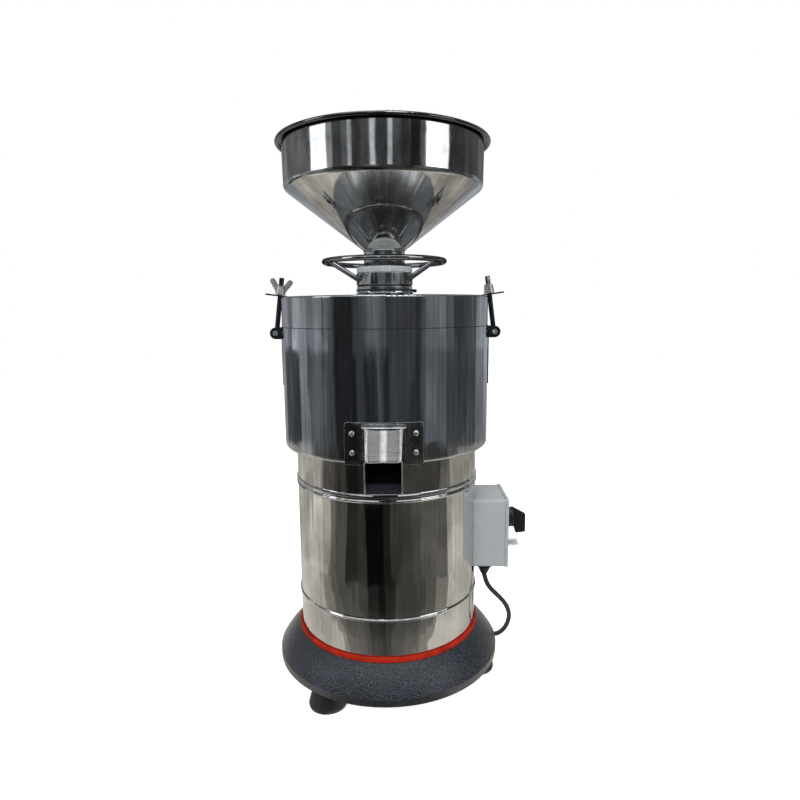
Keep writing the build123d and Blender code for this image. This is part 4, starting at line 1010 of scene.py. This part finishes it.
def spout_outline():
    """Round the spout: share of half width, depth under the roof. The fold strips stand proud."""
    fold, crown = 0.9 * MM, 0.5 * MM
    corner = 2.2 * MM
    share = 1 - corner / root_half
    right = [
        (0.0, -crown), (0.03, -0.3 * MM), (0.4, 0.0), (0.80, 0.0), (0.815, -fold), (share, -fold),
        (0.985, 0.2 * corner), (1.0, corner), (1.0, chute_deep / 2), (1.0, chute_deep - corner),
        (0.98, chute_deep - 0.3 * corner), (share, chute_deep), (0.5, chute_deep),
    ]
    left = [(-x, drop) for x, drop in reversed(right[1:])]
    return right + [(0.0, chute_deep)] + left


def build_spout(work):
    outline = spout_outline()
    lengths = [chute_reach * k / 12 for k in range(13)]
    rings = [[work.verts.new(spout_point(*place, ahead)) for place in outline] for ahead in lengths]
    skin(work, rings, ring=True)


spout_finishes = [brushed_chute, spout_shade, worn_edge]
sheet_piece("chute_spout", build_spout, gauge, spout_finishes, 0.5 * MM, sharp=30,
            instead_of=["discharge_chute"])


# %% Flange and tongue
def on_chamber(x, z, out=0.0):
    radius = chamber_reach + out
    return Vector((x, -sqrt(radius * radius - x * x), z))


def build_flange(work):
    """The rolled plate with its window, as strips between breaks in x and z."""
    corner = 4 * MM
    window_low = root_top - chute_deep
    bend = [flange_half - corner * (1 - sin(radians(a))) for a in range(0, 91, 15)]
    across = sorted({-x for x in bend} | set(bend) | {root_half * k / 6 for k in range(-6, 7)}
                    | {side * (root_half + 8 * MM * k) for side in (-1, 1) for k in (1, 2)})

    def upper(x):
        over = max(abs(x) - (flange_half - corner), 0)
        return flange_top - corner + sqrt(max(corner ** 2 - over ** 2, 0))

    for a, b in zip(across, across[1:]):
        over_window = max(abs(a), abs(b)) <= root_half + 1e-6
        sides = [(chamber_low, window_low, root_top, upper(x)) for x in (a, b)]
        for k in range(3):
            if over_window and k == 1:
                continue
            corners = (a, sides[0][k]), (b, sides[1][k]), (b, sides[1][k + 1]), (a, sides[0][k + 1])
            work.faces.new([work.verts.new(on_chamber(x, z)) for x, z in corners])


flange_finishes = [chute_steel, chute_steel, worn_edge]
flange = sheet_piece("chute_flange", build_flange, gauge, flange_finishes, 0.8 * MM, 1.0, sharp=30)


def build_tongue(work):
    """The turned-up tongue: it leaves the roof and leans a little away from the flange."""
    tall = 5.6 * MM
    half = root_half + gauge
    rows = []
    for share, out in ((0.0, 3.6), (0.15, 2.4), (0.4, 1.9), (1.0, 2.6)):
        places = [on_chamber(half * k / 10, root_top + tall * share, out * MM) for k in range(-10, 11)]
        rows.append([work.verts.new(place) for place in places])
    skin(work, rows)


sheet_piece("chute_tongue", build_tongue, gauge * 0.8, [bright_edge], 0.4 * MM, sharp=40)
print("flange", len(flange.data.polygons), "faces")

# %% [markdown]
# ## Screws on the chute
# Pan heads are cold-headed from wire and slotted. One head is modelled, and a tree sets it on
# every screw place, turned to the surface it holds and with its slot at its own angle.


# %% Screw head
def build_head(work):
    """A domed head of radius 1, slotted across."""
    tall, slot_floor, slot_half = 0.7, 0.16, 0.17
    across, rings = 48, 14
    rows = [[work.verts.new((0, 0, slot_floor))]]
    for i in range(1, rings + 1):
        r = i / rings
        row = []
        for k in range(across):
            turn = 2 * pi * k / across
            x, y = r * cos(turn), r * sin(turn)
            height = tall * sqrt(max(1 - r ** 2.4, 0))
            if abs(y) < slot_half and r < 0.97:
                height = min(height, slot_floor)
            row.append(work.verts.new((x, y, height)))
        rows.append(row)
    for k in range(across):
        work.faces.new((rows[0][0], rows[1][k], rows[1][(k + 1) % across]))
    skin(work, rows[1:], ring=True)
    work.faces.new(list(reversed(rows[-1])))


def screw_tree(sizes):
    tree, given, out = geometry_tree("screws", sizes)

    def stored(name, kind):
        return node(tree, "GeometryNodeInputNamedAttribute", {"Name": name}, data_type=kind).outputs[0]

    head = node(tree, "GeometryNodeObjectInfo", {"Object": given["Head"]}).outputs["Geometry"]
    facing = {"Vector": stored("facing", "FLOAT_VECTOR")}
    aim = node(tree, "FunctionNodeAlignRotationToVector", facing, axis="Z").outputs[0]
    slot_turn = {"Axis": (0, 0, 1), "Angle": stored("slot_turn", "FLOAT")}
    own = node(tree, "FunctionNodeAxisAngleToRotation", slot_turn).outputs[0]
    turns = {"Rotation": aim, "Rotate By": own}
    spun = node(tree, "FunctionNodeRotateRotation", turns, rotation_space="LOCAL").outputs[0]
    points = node(tree, "GeometryNodeMeshToPoints", {"Mesh": given["Geometry"]}).outputs[0]
    inputs = {"Points": points, "Instance": head, "Rotation": spun, "Scale": given["Head radius"]}
    end_tree(tree, given, out, node(tree, "GeometryNodeInstanceOnPoints", inputs).outputs[0])
    return tree


# %% Set the screws
head = bpy.data.objects.new("head", mesh_from("head", build_head))
scene.collection.objects.link(head)
screw_sizes = {"Head radius": 4.3 * MM, "Head": head}
screw_out = 44.5 * MM
face_radius = chamber_reach + gauge
seats = bpy.data.meshes.new("chute_screw_heads")
ways = [Vector((side * screw_out, -sqrt(face_radius ** 2 - screw_out ** 2), 0)) for side in (-1, 1)]
heights = [Vector((0, 0, chamber_low + height * MM)) for height in (17.0, 44.3)]
seats.from_pydata([way + height for way in ways for height in heights], [], [])
seats.attributes.new("facing", "FLOAT_VECTOR", "POINT")
seats.attributes.new("slot_turn", "FLOAT", "POINT")
for k, turn in enumerate((-0.9, 0.7, 0.5, 0.2)):
    seats.attributes["facing"].data[k].vector = ways[k // 2].normalized()
    seats.attributes["slot_turn"].data[k].value = turn
screw_mesh = grown("chute_screw_heads", screw_tree(screw_sizes), screw_sizes, zinc, seats)
place_piece("chute_screw_heads", screw_mesh, "machine", slot="zinc_screws", sharp=40,
            instead_of=["chute_screws"])
bpy.data.objects.remove(head)
print("screws set")

# %% [markdown]
# ## Threads on the swing bolts
# The bolts are threaded rod. A thread is one triangle carried along a helix, so the tree winds
# a spiral of the right pitch and sweeps a three-sided profile along it.


# %% Thread tree
def thread_tree(sizes):
    tree, given, out = geometry_tree("thread", sizes)
    tall = math(tree, "MULTIPLY", given["Pitch"], given["Turns"])
    inputs = {
        "Resolution": 20, "Rotations": given["Turns"], "Start Radius": given["Radius"],
        "End Radius": given["Radius"], "Height": tall,
    }
    helix = node(tree, "GeometryNodeCurveSpiral", inputs).outputs[0]
    triangle = {"Resolution": 3, "Radius": given["Depth"]}
    ridge = node(tree, "GeometryNodeCurvePrimitiveCircle", triangle).outputs[0]
    path = {"Curve": helix, "Profile Curve": ridge, "Fill Caps": True}
    end_tree(tree, given, out, node(tree, "GeometryNodeCurveToMesh", path).outputs[0])
    return tree


def along_bolt(side):
    """From the bolt's own frame, Z along it, to the machine: the bolt leans in to the lid."""
    low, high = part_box("hinge_pins")
    middle = (low + high) / 2
    pivot = Vector((side * hinge_x, middle.y, middle.z))
    return Matrix.Translation(pivot) @ Matrix.Rotation(-side * bolt_lean, 4, "Y")


hinge_x = 175 * MM
bolt_lean = radians(7.5)
bolt_radius = 3.9 * MM
thread_start = Matrix.Translation((0, 0, 30 * MM))
thread_sizes = {"Radius": bolt_radius - 0.15 * MM, "Pitch": 1.25 * MM, "Turns": 44.0, "Depth": 0.42 * MM}
threads = thread_tree(thread_sizes)
for side, word in ((-1, "left"), (1, "right")):
    mesh = grown(f"bolt_thread_{word}", threads, thread_sizes, dark_steel)
    mesh.transform(along_bolt(side) @ thread_start)
    place_piece(f"bolt_thread_{word}", mesh, f"swing_bolt_{word}", slot="dark_steel", sharp=30)
print("threads", len(mesh.polygons), "faces each")

# %% [markdown]
# ## Weld beads
# The lugs on the lid and the handwheel's spokes are tack-welded by hand. A bead is a row of
# overlapping puddles, so the tree sets a flattened ball at every step of a line, each a little
# different in size.


# %% Weld tree
def weld_tree(sizes):
    tree, given, out = geometry_tree("weld", sizes)
    line = {"Curve": node(tree, "GeometryNodeMeshToCurve", {"Mesh": given["Geometry"]}).outputs[0]}
    line["Length"] = given["Step"]
    points = node(tree, "GeometryNodeCurveToPoints", line, mode="LENGTH").outputs
    ball = node(tree, "GeometryNodeMeshIcoSphere", {"Radius": given["Bead"], "Subdivisions": 3})
    limits = {0: (0.75, 0.75, 0.5), 1: (1.15, 1.15, 0.8), "Seed": given["Seed"]}
    wild = node(tree, "FunctionNodeRandomValue", limits, data_type="FLOAT_VECTOR").outputs[0]
    inputs = {"Points": points["Points"], "Instance": ball.outputs["Mesh"], "Rotation": points["Rotation"],
              "Scale": wild}
    end_tree(tree, given, out, node(tree, "GeometryNodeInstanceOnPoints", inputs).outputs[0])
    return tree


def weld(name, lines, body, finish, bead):
    """Beads along several lines of points, as one piece."""
    seams = bpy.data.meshes.new(name)
    points, edges = [], []
    for line in lines:
        start = len(points)
        points += line
        edges += [(start + k, start + k + 1) for k in range(len(line) - 1)]
    seams.from_pydata(points, edges, [])
    sizes = {"Bead": bead, "Step": bead * 0.8, "Seed": 3}
    mesh = grown(name, weld_tree(sizes), sizes, finish, seams)
    place_piece(name, mesh, body, slot="brushed_steel", sharp=60)


# %% Welds of the lugs
lid_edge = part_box("lid")[1].x
lug_low, lug_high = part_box("lid_lugs")
lug_arc = asin((lug_high.y - lug_low.y) / 2 / lid_edge) * 0.92
lug_radius = lid_edge - 6.6 * MM
lug_lines = []
for middle in (0, pi):
    turns = [middle + lug_arc * (2 * k / 24 - 1) for k in range(25)]
    height = top_of("lid") + 0.3 * MM
    lug_lines.append([Vector((lug_radius * cos(t), lug_radius * sin(t), height)) for t in turns])
weld("lug_welds", lug_lines, "machine", bright_edge, 1.4 * MM)

# %% Welds of the spokes
first_spoke = 87
spoke_count = 3
wheel_low, wheel_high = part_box("handwheel_rim")
hub_reach = 44.5 * MM
wheel_reach = (wheel_high.y - wheel_low.y) / 2 - 4.25 * MM
spoke_foot = bottom_of("handwheel_hub") + 6.5 * MM
wheel_plane = (wheel_low.z + wheel_high.z) / 2
rise = atan2(wheel_plane - spoke_foot, wheel_reach - hub_reach)
spoke_ends = (
    (Vector((hub_reach + 0.4 * MM, 0, spoke_foot)), 4.4 * MM),
    (Vector((wheel_reach - 4.4 * MM, 0, wheel_plane - 1.6 * MM)), 4.3 * MM),
)
spoke_lines = []
for spoke in range(spoke_count):
    aim = Matrix.Rotation(radians(first_spoke + 360 / spoke_count * spoke), 4, "Z")
    for end, wide in spoke_ends:
        turns = [2 * pi * k / 18 for k in range(19)]
        spoke_lines.append([aim @ (end + Vector((0, sin(t), cos(rise) * cos(t))) * wide) for t in turns])
weld("spoke_welds", spoke_lines, "handwheel", hub_steel, 1.0 * MM)
print("welds made")

# %% [markdown]
# ## Seam and rivets of the housing
# The drum's strip closes on the right, in front of the switch box: one edge laps over the
# other, and three small blind rivets sit beside it.


# %% Seam
def on_drum(azimuth, height, out=0.0):
    """A point on the housing; azimuth in degrees from the front to the right."""
    turn = radians(azimuth - 90)
    radius = sheet_radius + out
    return Vector((radius * cos(turn), radius * sin(turn), height))


def build_seam(work):
    seam_start, seam_width = 71.5, 4
    rows = []
    for height in (3, 60):
        turns = [seam_start + seam_width * k / 6 for k in range(7)]
        rows.append([work.verts.new(on_drum(turn, housing_low + height * MM, 0.5 * MM)) for turn in turns])
    skin(work, rows)


sheet_piece("housing_seam", build_seam, 0.7 * MM, [housing_steel], 0.25 * MM, sharp=30,
            slot="polished_steel")


def build_rivets(work):
    flattened = Matrix.Diagonal((1, 1, 0.5, 1))
    for azimuth, height in ((64, 66), (67, 70), (66, 38)):
        turn = on_drum(azimuth, 0).to_track_quat("Z", "Y").to_matrix().to_4x4()
        place = Matrix.Translation(on_drum(azimuth, housing_low + height * MM)) @ turn @ flattened
        bmesh.ops.create_uvsphere(work, u_segments=24, v_segments=14, radius=1.5 * MM, matrix=place)


place_piece("housing_rivets", mesh_from("housing_rivets", build_rivets), "machine", zinc, slot="zinc_screws")
print("seam and rivets made")

# %% [markdown]
# ## The red seal
# A silicone ring is pressed round the foot of the drum. Its upper edge is rounded and its
# lower lip sits in shade on the paint, so it reads as a bright line with a dark one below.

# %% Seal
seal_low, seal_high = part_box("base_seal")
seal_foot = seal_low.z
seal_reach = seal_high.x
seal_top = seal_high.z - 4.4 * MM
seal_inner = sheet_radius + 0.05 * MM
seal_corners = (
    (seal_inner, seal_foot), (seal_reach - 0.6 * MM, seal_foot), (seal_reach, seal_foot + 1.0 * MM),
    (seal_reach, seal_top), (seal_inner, seal_top),
)
seal_radii = [radius * MM for radius in (0, 0.3, 0.4, 2.2, 0.4)]
seal_mesh = mesh_from("red_seal", lambda work: turned(work, rounded(seal_corners, seal_radii), 192))
place_piece("red_seal", seal_mesh, "machine", seal_red, slot="red_silicone", sharp=50,
            instead_of=["base_seal"])
print("seal from", round(seal_foot / MM, 1), "to", round(seal_top / MM, 1), "mm")

# %% [markdown]
# ## The dressed size
# The boxes of the CAD and of the dressed machine are compared, and how much the dressing grew is printed.

visual_box = [list(corner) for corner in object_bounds()]
for one, two in zip(cad_box, visual_box):
    print("grew by", [round((b - a) / MM, 1) for a, b in zip(one, two)], "mm")
